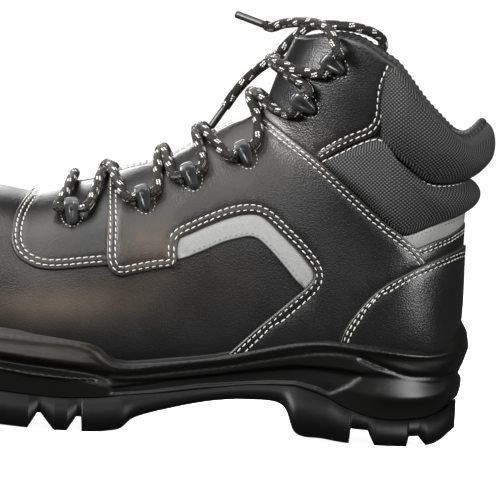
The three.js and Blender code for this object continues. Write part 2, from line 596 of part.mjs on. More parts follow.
const counter = () => panelSkin.intersect(sidePrism(counterOutline)).intersect(aboveLip);
const heelTape = () => tapeSkin.intersect(sidePrism(grow(heelTapeOutline, -GAP))).subtract(facingKeep);
const heelBand = () => panelSkin.intersect(sidePrism(grow(bandOutline, -GAP))).subtract(facingKeep)
  .subtract(counterKeep);

// Share of the way from a lower to an upper side-view line at a point, both lines read along x.
function between(lower, upperLine, px, pz) {
  const read = (line) => {
    const sorted = [...line].sort((a, b) => a[0] - b[0]);
    const share = px / LENGTH;
    if (share <= sorted[0][0]) return z(sorted[0][1]);
    for (let i = 0; i + 1 < sorted.length; i++) {
      const [a, b] = [sorted[i], sorted[i + 1]];
      if (share <= b[0]) return z(mix(a[1], b[1], (share - a[0]) / (b[0] - a[0])));
    }
    return z(sorted[sorted.length - 1][1]);
  };
  const [low, high] = [read(lower), read(upperLine)];
  return Math.max(0, Math.min(1, (pz - low) / (high - low)));
}

// Foam roll between two lines: a round bulge on the wall.
function roll(lower, upperLine, thickness, outline, keep) {
  const bulge = (u, angle) => {
    const p = lastPoint(u, angle);
    const t = between(lower, upperLine, p.x, p.z);
    return GAP + ROLL_EDGE + thickness * Math.sqrt(Math.max(0, Math.sin(Math.PI * t)));
  };
  const firstShaftRow = 14;
  const fine = lastSolid(bulge, firstShaftRow, 3);
  const cut = fine.subtract(lastWithGap).intersect(sidePrism(outline));
  return keep.reduce((solid, other) => solid.subtract(other), cut);
}

const lowerRollOutline = [
  ...ROLL_SEAM, ...[...ROLL_FOOT].reverse(), [0.2237, 0.690], [0.1793, 0.739], [0.1527, 0.761]];
const upperRollOutline = [
  ...COLLAR_LINE.slice(6), [-0.08, 0.832], [-0.08, 0.690], ...[...ROLL_SEAM].reverse(), [0.1370, 0.809]];

const lowerRoll = () => roll(ROLL_FOOT, [[0.2237, 0.690], ...ROLL_SEAM], LOWER_ROLL, lowerRollOutline,
  [facingKeep, topFacingKeep]);
const upperRoll = () => roll(ROLL_SEAM, COLLAR_LINE.slice(6), UPPER_ROLL,
  grow(upperRollOutline, -GAP), [topFacingKeep, facingKeep]);

// Frame of a loop on the outer or inner side: its seat, the way to its tip, along its tunnel and out.
function loopFrame({ wide, tip }, sign) {
  const seat = (point) => {
    const [u, angle] = placeAt(x(point[0]), z(point[1]));
    return offsetPoint(u, sign * angle, GAP + OVERLAY + LOOP_SEAT);
  };
  const [u, angle] = placeAt(x(mix(wide[0], tip[0], 0.5)), z(mix(wide[1], tip[1], 0.5)));
  const out = lastNormal(u, sign * angle);
  const start = seat(wide);
  const down = seat(tip).sub(start);
  down.addScaledVector(out, -down.dot(out)).normalize();
  const across = new THREE.Vector3().crossVectors(out, down).normalize();
  const middle = offsetPoint(u, sign * angle, GAP + OVERLAY + LOOP_SEAT);
  return { origin: middle.addScaledVector(down, -LOOP_LENGTH / 2), down, across, out };
}

const TUNNEL_RADIUS = LACE / 2 + TUNNEL_CLEARANCE;
const TUNNEL_AT = TUNNEL_RADIUS + LOOP_END_WALL; // from the wide end
const TUNNEL_UP = TUNNEL_RADIUS + LOOP_BASE_WALL; // from the base

// Wedge with a tunnel for the lace near its wide end, narrowing to a pointed tip.
function loopGeometry(frame) {
  const profile = new THREE.Shape([
    new THREE.Vector2(0, 0), new THREE.Vector2(LOOP_LENGTH, 0), new THREE.Vector2(LOOP_LENGTH, LOOP_TIP_HEIGHT),
    new THREE.Vector2(LOOP_LENGTH * 0.72, LOOP_HEIGHT * 0.62), new THREE.Vector2(LOOP_LENGTH * 0.4, LOOP_HEIGHT),
    new THREE.Vector2(LOOP_LENGTH * 0.1, LOOP_HEIGHT * 0.97), new THREE.Vector2(0, LOOP_HEIGHT * 0.8)]);
  const hole = new THREE.Path();
  const sides = 8;
  const radius = TUNNEL_RADIUS / Math.cos(Math.PI / sides);
  hole.setFromPoints(Array.from({ length: sides }, (_, i) => new THREE.Vector2(
    TUNNEL_AT + radius * Math.cos((2 * Math.PI * i) / sides),
    TUNNEL_UP + radius * Math.sin((2 * Math.PI * i) / sides))));
  profile.holes.push(hole);
  const body = new THREE.ExtrudeGeometry(profile, { depth: LOOP_WIDTH, bevelEnabled: false });
  const spot = body.getAttribute('position');
  for (let i = 0; i < spot.count; i++) {
    const along = spot.getX(i);
    const taper = mix(1, LOOP_TIP_WIDTH / LOOP_WIDTH, Math.max(0, along / LOOP_LENGTH - 0.5) * 2);
    spot.setZ(i, (spot.getZ(i) - LOOP_WIDTH / 2) * taper);
  }
  const basis = new THREE.Matrix4().makeBasis(frame.down, frame.out, frame.across.clone().negate());
  return body.applyMatrix4(basis.setPosition(frame.origin));
}

const loopFrames = { outer: LOOPS.map((loop) => loopFrame(loop, 1)), inner: LOOPS.map((loop) => loopFrame(loop, -1)) };

// Straight lead of the lace out of a loop, forward or up the boot, and its place on the last.
function mouth(frame, way) {
  const middle = frame.origin.clone().addScaledVector(frame.down, TUNNEL_AT).addScaledVector(frame.out, TUNNEL_UP);
  const upBoot = frame.across.clone().multiplyScalar(frame.across.x > 0 ? -way : way);
  const point = middle.clone().addScaledVector(upBoot, LOOP_WIDTH / 2 + LACE_LEAD);
  const foot = point.clone().addScaledVector(frame.out, -(TUNNEL_UP + LOOP_SEAT + OVERLAY + GAP));
  const [u, angle] = placeAt(foot.x, foot.z);
  return { middle, upBoot, point, u, angle: Math.sign(middle.y) * angle };
}

// Points of the lace over the ridge between two mouths, at a steady height over the last.
function overRidge(from, to, shift = 0) {
  const crossing = [0.22, 0.38, 0.5, 0.62, 0.78].map((t) => {
    const u = mix(from.u, to.u, t) + shift * Math.sin(Math.PI * t);
    return offsetPoint(u, mix(from.angle, to.angle, t * t * (3 - 2 * t)), LACE_RIDE);
  });
  return [from.point, ...crossing, to.point];
}

// Tube with a many-sided section along a smooth line through points.
function tube(points, diameter, steps) {
  const curve = new THREE.CatmullRomCurve3(points, false, 'centripetal');
  const outline = new THREE.Shape(Array.from({ length: TUBE_SIDES }, (_, i) => new THREE.Vector2(
    (diameter / 2) * Math.cos((2 * Math.PI * i) / TUBE_SIDES),
    (diameter / 2) * Math.sin((2 * Math.PI * i) / TUBE_SIDES))));
  return new THREE.ExtrudeGeometry(outline, { steps, extrudePath: curve, bevelEnabled: false });
}

// One run of the lace: it climbs from loop to loop and changes sides over the ridge.
function laceRun(startSide) {
  const sides = startSide === 'outer' ? ['outer', 'inner'] : ['inner', 'outer'];
  const frames = LOOPS.map((_, i) => loopFrames[sides[i % 2]][i]);
  return frames.flatMap((frame, i) => {
    const inTunnel = [mouth(frame, 1).middle];
    const start = i === 0 ? [mouth(frame, -1).point] : [];
    const onward = i + 1 < frames.length
      ? overRidge(mouth(frame, 1), mouth(frames[i + 1], -1))
      : [mouth(frame, 1).middle.clone().addScaledVector(mouth(frame, 1).upBoot, LOOP_WIDTH / 2)];
    return [...start, ...inTunnel, ...onward];
  });
}

function lacing() {
  const bar = overRidge(mouth(loopFrames.outer[0], -1), mouth(loopFrames.inner[0], -1), BAR_SHIFT);
  const outerStart = mouth(loopFrames.outer[0], -1).middle;
  const innerStart = mouth(loopFrames.inner[0], -1).middle;
  return toSolid(tube(laceRun('outer'), LACE, LACE_STEPS)).add(toSolid(tube(laceRun('inner'), LACE, LACE_STEPS)))
    .add(toSolid(tube([outerStart, ...bar, innerStart], LACE, 16)));
}

const shares = (points) => points.map(([a, b, c]) => new THREE.Vector3(x(a), y(b), z(c)));

// Free end of the lace, from the mouth of the top loop, and the straight sheath on its tip
function laceEnd(run, ownPoints) {
  const top = mouth(loopFrames[run][LOOPS.length - 1], 1);
  const start = top.middle.clone().addScaledVector(top.upBoot, LOOP_WIDTH / 2 + GAP);
  const points = [start, top.point, ...shares(ownPoints)];
  const tip = points[points.length - 1];
  const onward = new THREE.CatmullRomCurve3(points, false, 'centripetal').getTangent(1);
  const sheathPoints = [GAP, GAP + AGLET_LENGTH].map((reach) => tip.clone().addScaledVector(onward, reach));
  return { end: tube(points, LACE, LACE_END_STEPS), aglet: tube(sheathPoints, AGLET, 1) };
}

const leather = { color: 0x1b1b1c, roughness: 0.48, metalness: 0 };
const mesh = { color: 0x1e1f1f, roughness: 0.9, metalness: 0 };
const tape = { color: 0xb4b5b2, roughness: 0.55, metalness: 0.1 };
const rubber = { color: 0x101010, roughness: 0.6, metalness: 0 };
const foam = { color: 0x151515, roughness: 0.55, metalness: 0 };
const felt = { color: 0x2a2825, roughness: 0.95, metalness: 0 };
const nylon = { color: 0x202122, roughness: 0.42, metalness: 0 };
const cord = { color: 0x1a1917, roughness: 0.85, metalness: 0 };
const sheath = { color: 0x3c3c3c, roughness: 0.5, metalness: 0 };

const boot = new THREE.Group();

function put(name, shape, look) {
  const geometry = shape.isBufferGeometry ? shape : toGeometry(shape);
  const made = new THREE.Mesh(geometry, new THREE.MeshStandardMaterial(look));
  made.name = name;
  boot.add(made);
}

put('outsole', outsole(), rubber);
put('midsole', midsole(), foam);
put('insole', insole(), felt);
put('upper', upper(), leather);
put('tongue', tongue(), leather);
put('counter', counter(), leather);
put('front_facing', frontFacing(), leather);
put('collar_roll_lower', lowerRoll(), mesh);
put('collar_roll_upper', upperRoll(), mesh);
put('heel_tape', heelTape(), tape);
put('heel_band', heelBand(), leather);
for (const [name, half] of [['outer', outerHalf], ['inner', innerHalf]]) {
  put(`facing_${name}`, facing(half), leather);
  put(`top_facing_${name}`, topFacing(half), leather);
  put(`side_tape_${name}`, sideTape(half), tape);
  loopFrames[name].forEach((frame, i) => put(`lace_loop_${name}_${i + 1}`, loopGeometry(frame), nylon));
}
put('lacing', lacing(), cord);
for (const [name, points] of [['outer', OUTER_END], ['inner', INNER_END]]) {
  const { end, aglet } = laceEnd(name, points);
  put(`lace_end_${name}`, end, cord);
  put(`aglet_${name}`, aglet, sheath);
}

// Origin at the bottom centre of the box round the boot without its free lace ends
const box = new THREE.Box3();
for (const part of boot.children) {
  if (!/^(lace_end|aglet)/.test(part.name)) box.expandByObject(part);
}
boot.position.set(-(box.min.x + box.max.x) / 2, -(box.min.y + box.max.y) / 2, -box.min.z);
boot.updateMatrixWorld(true);

export default boot;
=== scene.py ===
import math

import bpy
import numpy as np
from mathutils import Matrix, Vector
from mathutils.geometry import delaunay_2d_cdt


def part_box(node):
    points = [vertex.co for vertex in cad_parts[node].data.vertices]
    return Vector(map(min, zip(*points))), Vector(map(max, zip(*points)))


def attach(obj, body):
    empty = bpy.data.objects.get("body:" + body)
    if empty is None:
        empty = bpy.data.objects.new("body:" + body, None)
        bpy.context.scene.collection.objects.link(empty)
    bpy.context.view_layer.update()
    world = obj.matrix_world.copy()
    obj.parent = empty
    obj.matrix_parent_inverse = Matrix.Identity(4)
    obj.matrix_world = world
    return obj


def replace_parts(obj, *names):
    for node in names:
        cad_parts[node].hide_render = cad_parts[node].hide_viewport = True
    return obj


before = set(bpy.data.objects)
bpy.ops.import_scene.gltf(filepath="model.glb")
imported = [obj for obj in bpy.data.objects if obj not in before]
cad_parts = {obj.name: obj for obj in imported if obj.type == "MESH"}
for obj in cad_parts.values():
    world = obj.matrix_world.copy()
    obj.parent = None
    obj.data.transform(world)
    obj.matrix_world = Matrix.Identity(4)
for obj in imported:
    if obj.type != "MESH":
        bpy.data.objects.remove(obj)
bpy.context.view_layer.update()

# Left safety boot of black leather. Every shape is worked out in the boot's own millimetres: x from the back
# of the heel to the toe, y from the middle line to the outer side, z from the floor. Outlines are written in
# shares, x of LENGTH and z of BOOT_HEIGHT in the side view.

# Sizes in millimetres
LENGTH = 300
BOOT_HEIGHT = 176
BALL_WIDTH = 107
WALL = 3
OVERLAY = 1.7
STRIP = 0.8
SHELL_LEATHER = 1.5
LINING_FELT = 1.2
FRONT_LEATHER = 1.3
QUARTER_LEATHER = 1.9
ANKLE_LEATHER = 1.5
COUNTER_LEATHER = 2.2
BAND_LEATHER = 1.2
GAP = 0.3
TONGUE = 5
ROLL_EDGE = 1.2
LOWER_ROLL = 6
UPPER_ROLL = 8.6
HEEL_TURN = 34  # radius of the shaft round the heel
SIDE_RELIEF = 4
TREAD_INSET = 1.2
GROOVE_DEPTH = 7
GROOVE_CORNER = 0.0012
CHANNEL_WIDTH = 6
CHANNEL_DEPTH = 5
LACE = 4.4
AGLET = 3.2
AGLET_LENGTH = 14
LOOP_LENGTH = 11
LOOP_WIDTH = 6.6
LOOP_TIP_WIDTH = 2.8
LOOP_HEIGHT = 8
LOOP_TIP_HEIGHT = 1.6
LOOP_END_WALL = 1.1
LOOP_BASE_WALL = 0.9
TUNNEL_CLEARANCE = 0.7
LOOP_SEAT = 0.55
LACE_LEAD = 2.7
LACE_RIDE = 4.8
THROAT_HALF = 15
THROAT_FROM = 10.5
TONGUE_HALF = 27
TONGUE_FROM = 9.5
TONGUE_TO = 22.1

# One row for each section of the last, toe to collar, in shares of the sizes above
SECTION_COLUMNS = (
    "top_x", "top_z", "bottom_x", "bottom_z", "centre", "outer", "inner", "widest",
    "top_round", "bottom_round")
SECTION_ROWS = (
    (0.9767, 0.312, 0.9767, 0.256, -0.037, 0.006, 0.006, 0.50, 2.0, 2.0),
    (0.9727, 0.358, 0.9727, 0.205, -0.037, 0.075, 0.075, 0.52, 2.0, 2.2),
    (0.9600, 0.409, 0.9600, 0.165, -0.036, 0.159, 0.164, 0.55, 2.1, 2.4),
    (0.9367, 0.466, 0.9367, 0.136, -0.034, 0.243, 0.248, 0.58, 2.2, 2.6),
    (0.9033, 0.517, 0.9033, 0.116, -0.031, 0.322, 0.313, 0.61, 2.3, 2.8),
    (0.8567, 0.560, 0.8567, 0.108, -0.027, 0.388, 0.360, 0.64, 2.4, 3.0),
    (0.8000, 0.583, 0.8000, 0.102, -0.020, 0.434, 0.393, 0.65, 2.5, 3.0),
    (0.7400, 0.587, 0.7400, 0.102, -0.014, 0.460, 0.414, 0.65, 2.5, 3.0),
    (0.6833, 0.579, 0.6833, 0.102, -0.009, 0.472, 0.422, 0.65, 2.4, 3.0),
    (0.6333, 0.569, 0.6400, 0.102, -0.006, 0.472, 0.419, 0.66, 2.3, 3.0),
    (0.5933, 0.585, 0.6000, 0.102, -0.003, 0.463, 0.406, 0.67, 2.25, 3.0),
    (0.5467, 0.604, 0.5600, 0.102, 0, 0.448, 0.388, 0.69, 2.3, 3.0),
    (0.4933, 0.642, 0.5167, 0.102, 0, 0.430, 0.366, 0.71, 2.3, 3.0),
    (0.4400, 0.680, 0.4700, 0.102, 0, 0.407, 0.348, 0.73, 2.3, 3.0),
    (0.3933, 0.735, 0.4133, 0.102, 0, 0.385, 0.338, 0.74, 2.3, 2.9),
    (0.3613, 0.773, 0.3267, 0.102, 0, 0.371, 0.336, 0.73, 2.3, 2.8),
    (0.3410, 0.795, 0.2133, 0.102, 0, 0.362, 0.336, 0.71, 2.3, 2.5),
    (0.3255, 0.819, 0.1000, 0.102, 0, 0.353, 0.336, 0.69, 2.3, 2.2),
    (0.3155, 0.846, 0.0280, 0.153, 0, 0.346, 0.336, 0.65, 2.3, 2.0),
    (0.3090, 0.870, 0.0170, 0.312, 0, 0.343, 0.335, 0.62, 2.3, 2.0),
    (0.3025, 0.894, 0.0170, 0.466, 0, 0.344, 0.337, 0.60, 2.3, 2.0),
    (0.2945, 0.921, 0.0155, 0.597, 0, 0.348, 0.342, 0.58, 2.3, 2.0),
    (0.2845, 0.954, 0.0110, 0.710, 0, 0.354, 0.348, 0.57, 2.3, 2.0),
    (0.2750, 0.990, -0.0110, 0.812, 0, 0.358, 0.353, 0.56, 2.3, 2.0),
    (0.2675, 1.030, -0.0190, 0.909, 0, 0.360, 0.356, 0.56, 2.3, 2.0),
    (0.2610, 1.072, -0.0210, 1.011, 0, 0.360, 0.356, 0.56, 2.3, 2.0),
)

# Outer edge of the sole seen from above: half widths in shares of BALL_WIDTH
PLAN_COLUMNS = ("x", "outer", "inner")
PLAN_ROWS = (
    (0.0000, 0.000, 0.000),
    (0.0070, 0.110, 0.108),
    (0.0300, 0.224, 0.220),
    (0.0700, 0.315, 0.308),
    (0.1250, 0.368, 0.357),
    (0.1900, 0.384, 0.366),
    (0.2700, 0.384, 0.360),
    (0.3500, 0.392, 0.352),
    (0.4300, 0.418, 0.356),
    (0.5100, 0.454, 0.384),
    (0.5900, 0.489, 0.428),
    (0.6700, 0.509, 0.467),
    (0.7400, 0.507, 0.487),
    (0.8000, 0.486, 0.487),
    (0.8600, 0.440, 0.468),
    (0.9100, 0.374, 0.427),
    (0.9500, 0.288, 0.366),
    (0.9800, 0.180, 0.284),
    (0.9950, 0.068, 0.186),
    (1.0000, -0.055, 0.055),
)

# Heights along the sole: under the lugs, where midsole meets outsole, the cup's floor and the lip's top
HEIGHT_COLUMNS = ("x", "under", "split", "floor", "lip")
HEIGHT_ROWS = (
    (0.000, 0.058, 0.120, 0.170, 0.306),
    (0.015, 0.042, 0.108, 0.170, 0.275),
    (0.040, 0.010, 0.079, 0.170, 0.245),
    (0.080, 0.000, 0.066, 0.170, 0.241),
    (0.126, 0.000, 0.067, 0.170, 0.247),
    (0.170, 0.004, 0.089, 0.170, 0.253),
    (0.200, 0.011, 0.114, 0.170, 0.256),
    (0.240, 0.021, 0.134, 0.168, 0.251),
    (0.262, 0.088, 0.136, 0.167, 0.245),
    (0.310, 0.097, 0.133, 0.163, 0.226),
    (0.366, 0.088, 0.120, 0.158, 0.204),
    (0.425, 0.065, 0.105, 0.152, 0.190),
    (0.472, 0.040, 0.096, 0.148, 0.180),
    (0.492, 0.012, 0.092, 0.146, 0.179),
    (0.512, 0.004, 0.087, 0.144, 0.187),
    (0.535, 0.000, 0.083, 0.142, 0.215),
    (0.585, 0.000, 0.080, 0.139, 0.232),
    (0.640, 0.005, 0.086, 0.137, 0.240),
    (0.700, 0.015, 0.097, 0.138, 0.248),
    (0.780, 0.046, 0.122, 0.152, 0.260),
    (0.860, 0.088, 0.152, 0.180, 0.274),
    (0.940, 0.138, 0.185, 0.214, 0.292),
    (1.000, 0.178, 0.210, 0.240, 0.300),
)

# Side wall of the midsole from split to lip: shares of the wall's height, and insets as shares of SIDE_RELIEF
SIDE_COLUMNS = (
    "x", "bulge_up", "bulge", "notch_up", "notch", "step_up", "step", "face_up", "face",
    "shoulder_up", "shoulder", "foot", "lip")
SIDE_ROWS = (
    (0.00, 0.30, 0.65, 0.36, 0.85, 0.44, 0.55, 0.66, 0, 0.88, 0.30, 1.00, 0.90),
    (0.10, 0.30, 0.225, 0.58, 0.55, 0.66, 0.225, 0.82, 0.275, 0.92, 0.10, 0.75, 0.65),
    (0.22, 0.24, 0.60, 0.42, 0.60, 0.48, 0.225, 0.72, 0.05, 0.92, 0.10, 0.65, 0.60),
    (0.38, 0.10, 0.65, 0.34, 0.65, 0.40, 0.25, 0.66, 0.10, 0.88, 0.125, 0.65, 0.65),
    (0.50, 0.20, 0.35, 0.38, 0.40, 0.48, 0.225, 0.66, 0.075, 0.90, 0.25, 0.45, 0.70),
    (0.58, 0.34, 0.125, 0.42, 0.65, 0.52, 0.60, 0.60, 0, 0.88, 0.60, 0.45, 1.00),
    (0.68, 0.36, 0.10, 0.44, 0.70, 0.54, 0.65, 0.60, 0, 0.88, 0.65, 0.45, 1.05),
    (1.00, 0.34, 0.10, 0.42, 0.70, 0.54, 0.65, 0.60, 0, 0.86, 0.70, 0.45, 1.15),
)

# Tread grooves across the sole: rear and front edge at the floor, the roof above them, and the depth in
# shares of GROOVE_DEPTH
GROOVE_COLUMNS = ("rear_floor", "rear_roof", "front_roof", "front_floor", "depth")
GROOVE_ROWS = (
    (0.052, 0.064, 0.077, 0.080, 0.63),
    (0.126, 0.137, 0.161, 0.163, 0.91),
    (0.547, 0.549, 0.556, 0.569, 0.91),
    (0.587, 0.607, 0.612, 0.625, 1.00),
    (0.668, 0.680, 0.690, 0.702, 0.91),
    (0.742, 0.752, 0.762, 0.774, 0.89),
    (0.814, 0.824, 0.834, 0.846, 0.86),
    (0.882, 0.892, 0.902, 0.912, 0.80),
)

# Seams and edges in the side view
COLLAR_LINE = (
    (0.36, 0.980), (0.285, 0.9835), (0.254, 0.983), (0.237, 0.988), (0.204, 0.994), (0.176, 0.983),
    (0.145, 0.952), (0.124, 0.930), (0.103, 0.890), (0.080, 0.843), (0.058, 0.807), (0.033, 0.771),
    (0.020, 0.764), (0.010, 0.768), (0.000, 0.781), (-0.009, 0.801), (-0.014, 0.813), (-0.024, 0.825),
    (-0.060, 0.832))
ROLL_SEAM = (
    (0.1410, 0.756), (0.1213, 0.714), (0.0977, 0.680), (0.0737, 0.651), (0.0553, 0.647), (0.0327, 0.652),
    (0.0010, 0.667), (-0.05, 0.680))
ROLL_FOOT = (
    (0.2227, 0.688), (0.160, 0.600), (0.1017, 0.519), (0.0890, 0.524), (0.0697, 0.539), (0.0480, 0.554),
    (0.0267, 0.569), (0.0160, 0.580), (0.0063, 0.591), (-0.05, 0.625))
STRIP_FOOT = (
    (0.110, 0.478), (0.0833, 0.4875), (0.0577, 0.507), (0.0360, 0.523), (0.0193, 0.544), (0.0100, 0.565),
    (-0.05, 0.600))
COUNTER_TOP = (
    (0.1900, 0.225), (0.1830, 0.256), (0.1770, 0.2835), (0.1600, 0.328), (0.1427, 0.365), (0.1210, 0.398),
    (0.0990, 0.423), (0.0743, 0.447), (0.0453, 0.4705), (0.0240, 0.487), (0.0150, 0.497), (-0.05, 0.530))
FACING_REAR = (
    (0.3640, 0.860), (0.3230, 0.802), (0.2283, 0.6915), (0.1360, 0.560), (0.1017, 0.515), (0.0810, 0.486),
    (0.0680, 0.452))
FACING_FOOT = (
    (0.5290, 0.640), (0.5260, 0.500), (0.5243, 0.420), (0.5200, 0.3995), (0.5100, 0.386), (0.5013, 0.3845),
    (0.4867, 0.391), (0.4543, 0.404), (0.4260, 0.4135))
WINDOW_EDGE = (
    (0.4250, 0.4295), (0.4253, 0.469), (0.4223, 0.482), (0.4087, 0.494), (0.3767, 0.521), (0.3523, 0.5385),
    (0.3313, 0.548), (0.3113, 0.549), (0.2980, 0.5375), (0.2773, 0.507), (0.2513, 0.4675), (0.2357, 0.438),
    (0.2267, 0.4165), (0.2270, 0.3995), (0.2387, 0.3745))
FACING_LOWER = ((0.2387, 0.3745), (0.3077, 0.267), (0.3450, 0.205))
STRIP_INNER = (
    (0.2523, 0.397), (0.2753, 0.440), (0.2977, 0.477), (0.3097, 0.492), (0.3213, 0.4965),
    (0.3343, 0.492), (0.3587, 0.479), (0.3830, 0.459), (0.4070, 0.440))
ANKLE_CORNER = (0.2237, 0.690)
ANKLE_REAR = (
    (0.1240, 0.930), (0.1337, 0.887), (0.1360, 0.848), (0.1370, 0.809), (0.1420, 0.781), (0.1527, 0.761),
    (0.1793, 0.739), (0.2060, 0.713), ANKLE_CORNER)
FRONT_FACING = (
    (0.6200, 0.640), (0.6327, 0.5745), (0.6483, 0.5505), (0.6590, 0.519), (0.6633, 0.479), (0.6613, 0.4455),
    (0.6523, 0.419), (0.6387, 0.403), (0.6220, 0.393), (0.6020, 0.391), (0.5777, 0.3955), (0.5450, 0.404),
    (0.5220, 0.4085))

# Lace loops in the side view: wide end near the throat, then the pointed end
LOOPS = (
    ((0.5770, 0.543), (0.5763, 0.485)),
    ((0.4833, 0.589), (0.4690, 0.528)),
    ((0.4153, 0.651), (0.4010, 0.590)),
    ((0.3450, 0.713), (0.3230, 0.6545)),
    ((0.2597, 0.846), (0.2317, 0.806)),
    ((0.2223, 0.9425), (0.1957, 0.907)),
)

# Where the lace crosses the ridge: section row and how far it sinks, for the lowest bar and above each pair
# of loops
CROSSINGS = ((10.4, 0), (11.4, 1.2), (12.8, 3.2), (13.9, 3.2), (17.6, 3.2), (20.9, 3.2))

# Free lace ends, as points (x, y, z) in shares
OUTER_END = (
    (0.2079, 0.421, 0.952), (0.2154, 0.411, 0.983), (0.2219, 0.355, 1.008), (0.2388, 0.271, 1.0234),
    (0.269, 0.159, 1.023), (0.2925, 0.080, 1.0145), (0.3065, 0.052, 1.0050), (0.3160, 0.040, 1.0090))
INNER_END = (
    (0.1443, -0.430, 0.9555), (0.1442, -0.416, 0.9758), (0.1544, -0.355, 0.9923), (0.1753, -0.290, 1.0054),
    (0.2000, -0.243, 1.0110), (0.2244, -0.220, 1.0120), (0.2502, -0.234, 1.0060), (0.2750, -0.285, 0.9720),
    (0.2992, -0.308, 0.9239), (0.3256, -0.336, 0.8860), (0.3503, -0.350, 0.8386), (0.3677, -0.355, 0.7921))


def table(columns, rows):
    """Rows of numbers as one array for each named column."""
    return {name: np.array([row[i] for row in rows], float) for i, name in enumerate(columns)}


SECTIONS = table(SECTION_COLUMNS, SECTION_ROWS)
PLAN = table(PLAN_COLUMNS, PLAN_ROWS)
HEIGHTS = table(HEIGHT_COLUMNS, HEIGHT_ROWS)
SIDES = table(SIDE_COLUMNS, SIDE_ROWS)
GROOVES = table(GROOVE_COLUMNS, GROOVE_ROWS)
LAST_ROW = len(SECTION_ROWS) - 1
SECTION_SCALE = {
    "top_x": LENGTH, "top_z": BOOT_HEIGHT, "bottom_x": LENGTH, "bottom_z": BOOT_HEIGHT, "centre": BALL_WIDTH,
    "outer": BALL_WIDTH, "inner": BALL_WIDTH, "widest": 1, "top_round": 1, "bottom_round": 1}


def smooth(values, place):
    """Catmull-Rom value of one column at places counted in rows."""
    last = len(values) - 1
    place = np.asarray(place, float)
    i = np.clip(np.floor(place).astype(int), 0, last - 1)
    t = place - i
    a, b, c, d = values[np.maximum(i - 1, 0)], values[i], values[i + 1], values[np.minimum(i + 2, last)]
    return b + 0.5 * t * (c - a + t * (2 * a - 5 * b + 4 * c - d + t * (3 * (b - c) + d - a)))


def place_of(values, value):
    """Row place at which a column that only grows takes each value."""
    low = np.zeros_like(np.asarray(value, float))
    high = np.full_like(low, len(values) - 1)
    for _ in range(34):
        middle = (low + high) / 2
        under = smooth(values, middle) < value
        low = np.where(under, middle, low)
        high = np.where(under, high, middle)
    return low


def section(u):
    """The section at row place u: each column in millimetres or as it is."""
    place = np.clip(u, 0, LAST_ROW)
    return {name: smooth(SECTIONS[name], place) * scale for name, scale in SECTION_SCALE.items()}


def last_point(u, angle):
    """Point of the last: angle 0 is the ridge, plus or minus pi the bottom line, plus the outer side. A
    section is a superellipse about the line from its top to its bottom point."""
    s = section(u)
    wrapped = np.arctan2(np.sin(angle), np.cos(angle))
    a = np.abs(wrapped)
    above = a <= np.pi / 2
    power = 2 / np.where(above, s["top_round"], s["bottom_round"])
    along = np.abs(np.cos(a)) ** power
    out = np.abs(np.sin(a)) ** power
    t = np.where(above, s["widest"] * (1 - along), s["widest"] + (1 - s["widest"]) * along)
    width = np.where(wrapped >= 0, s["outer"], -s["inner"])
    return np.stack([
        s["top_x"] + (s["bottom_x"] - s["top_x"]) * t,
        s["centre"] + width * out,
        s["top_z"] + (s["bottom_z"] - s["top_z"]) * t], -1)


def unit(v):
    """Vectors made one long."""
    return v / np.maximum(np.linalg.norm(v, axis=-1, keepdims=True), 1e-9)


def slopes(u, angle, step=0.02):
    """Changes of the last's point for one row along and for one radian around."""
    along = (last_point(u + step, angle) - last_point(u - step, angle)) / (2 * step)
    around = (last_point(u, angle + step) - last_point(u, angle - step)) / (2 * step)
    return along, around


def last_normal(u, angle):
    """Outward way at a place on the last."""
    along, around = slopes(u, angle)
    return unit(np.cross(around, along))


def on_last(u, angle, height):
    """Point at a height over the last."""
    return last_point(u, angle) + last_normal(u, angle) * np.asarray(height, float)[..., None]


def place_at(px, pz):
    """Row place, angle and share across for side-view points in millimetres, on the outer half."""
    px, pz = np.asarray(px, float), np.asarray(pz, float)
    low = np.zeros_like(px)
    high = np.full_like(px, LAST_ROW)
    for _ in range(34):
        middle = (low + high) / 2
        s = section(middle)
        dx, dz = s["bottom_x"] - s["top_x"], s["bottom_z"] - s["top_z"]
        side = (px - s["top_x"]) * dz - (pz - s["top_z"]) * dx
        low = np.where(side > 0, middle, low)
        high = np.where(side > 0, high, middle)
    s = section(low)
    dx, dz = s["bottom_x"] - s["top_x"], s["bottom_z"] - s["top_z"]
    share = ((px - s["top_x"]) * dx + (pz - s["top_z"]) * dz) / (dx ** 2 + dz ** 2)
    t = np.clip(share, 0, 1)
    widest = s["widest"]
    over = np.clip((widest - t) / widest, 0, 1) ** (s["top_round"] / 2)
    under = np.clip((t - widest) / (1 - widest), 0, 1) ** (s["bottom_round"] / 2)
    angle = np.where(t < widest, np.arccos(over), np.pi - np.arccos(under))
    return low, angle, share


def throat_angle(u, side):
    """Angle of the throat's edge on the outer (1) or inner (-1) side; it narrows at the front."""
    s = section(u)
    half = THROAT_HALF * np.clip(0.45 + 0.25 * (u - THROAT_FROM), 0, 1)
    width = s["outer"] if side > 0 else s["inner"]
    reach = np.clip((half - side * s["centre"]) / width, 0, 0.999)
    return np.arcsin(reach ** (s["top_round"] / 2))


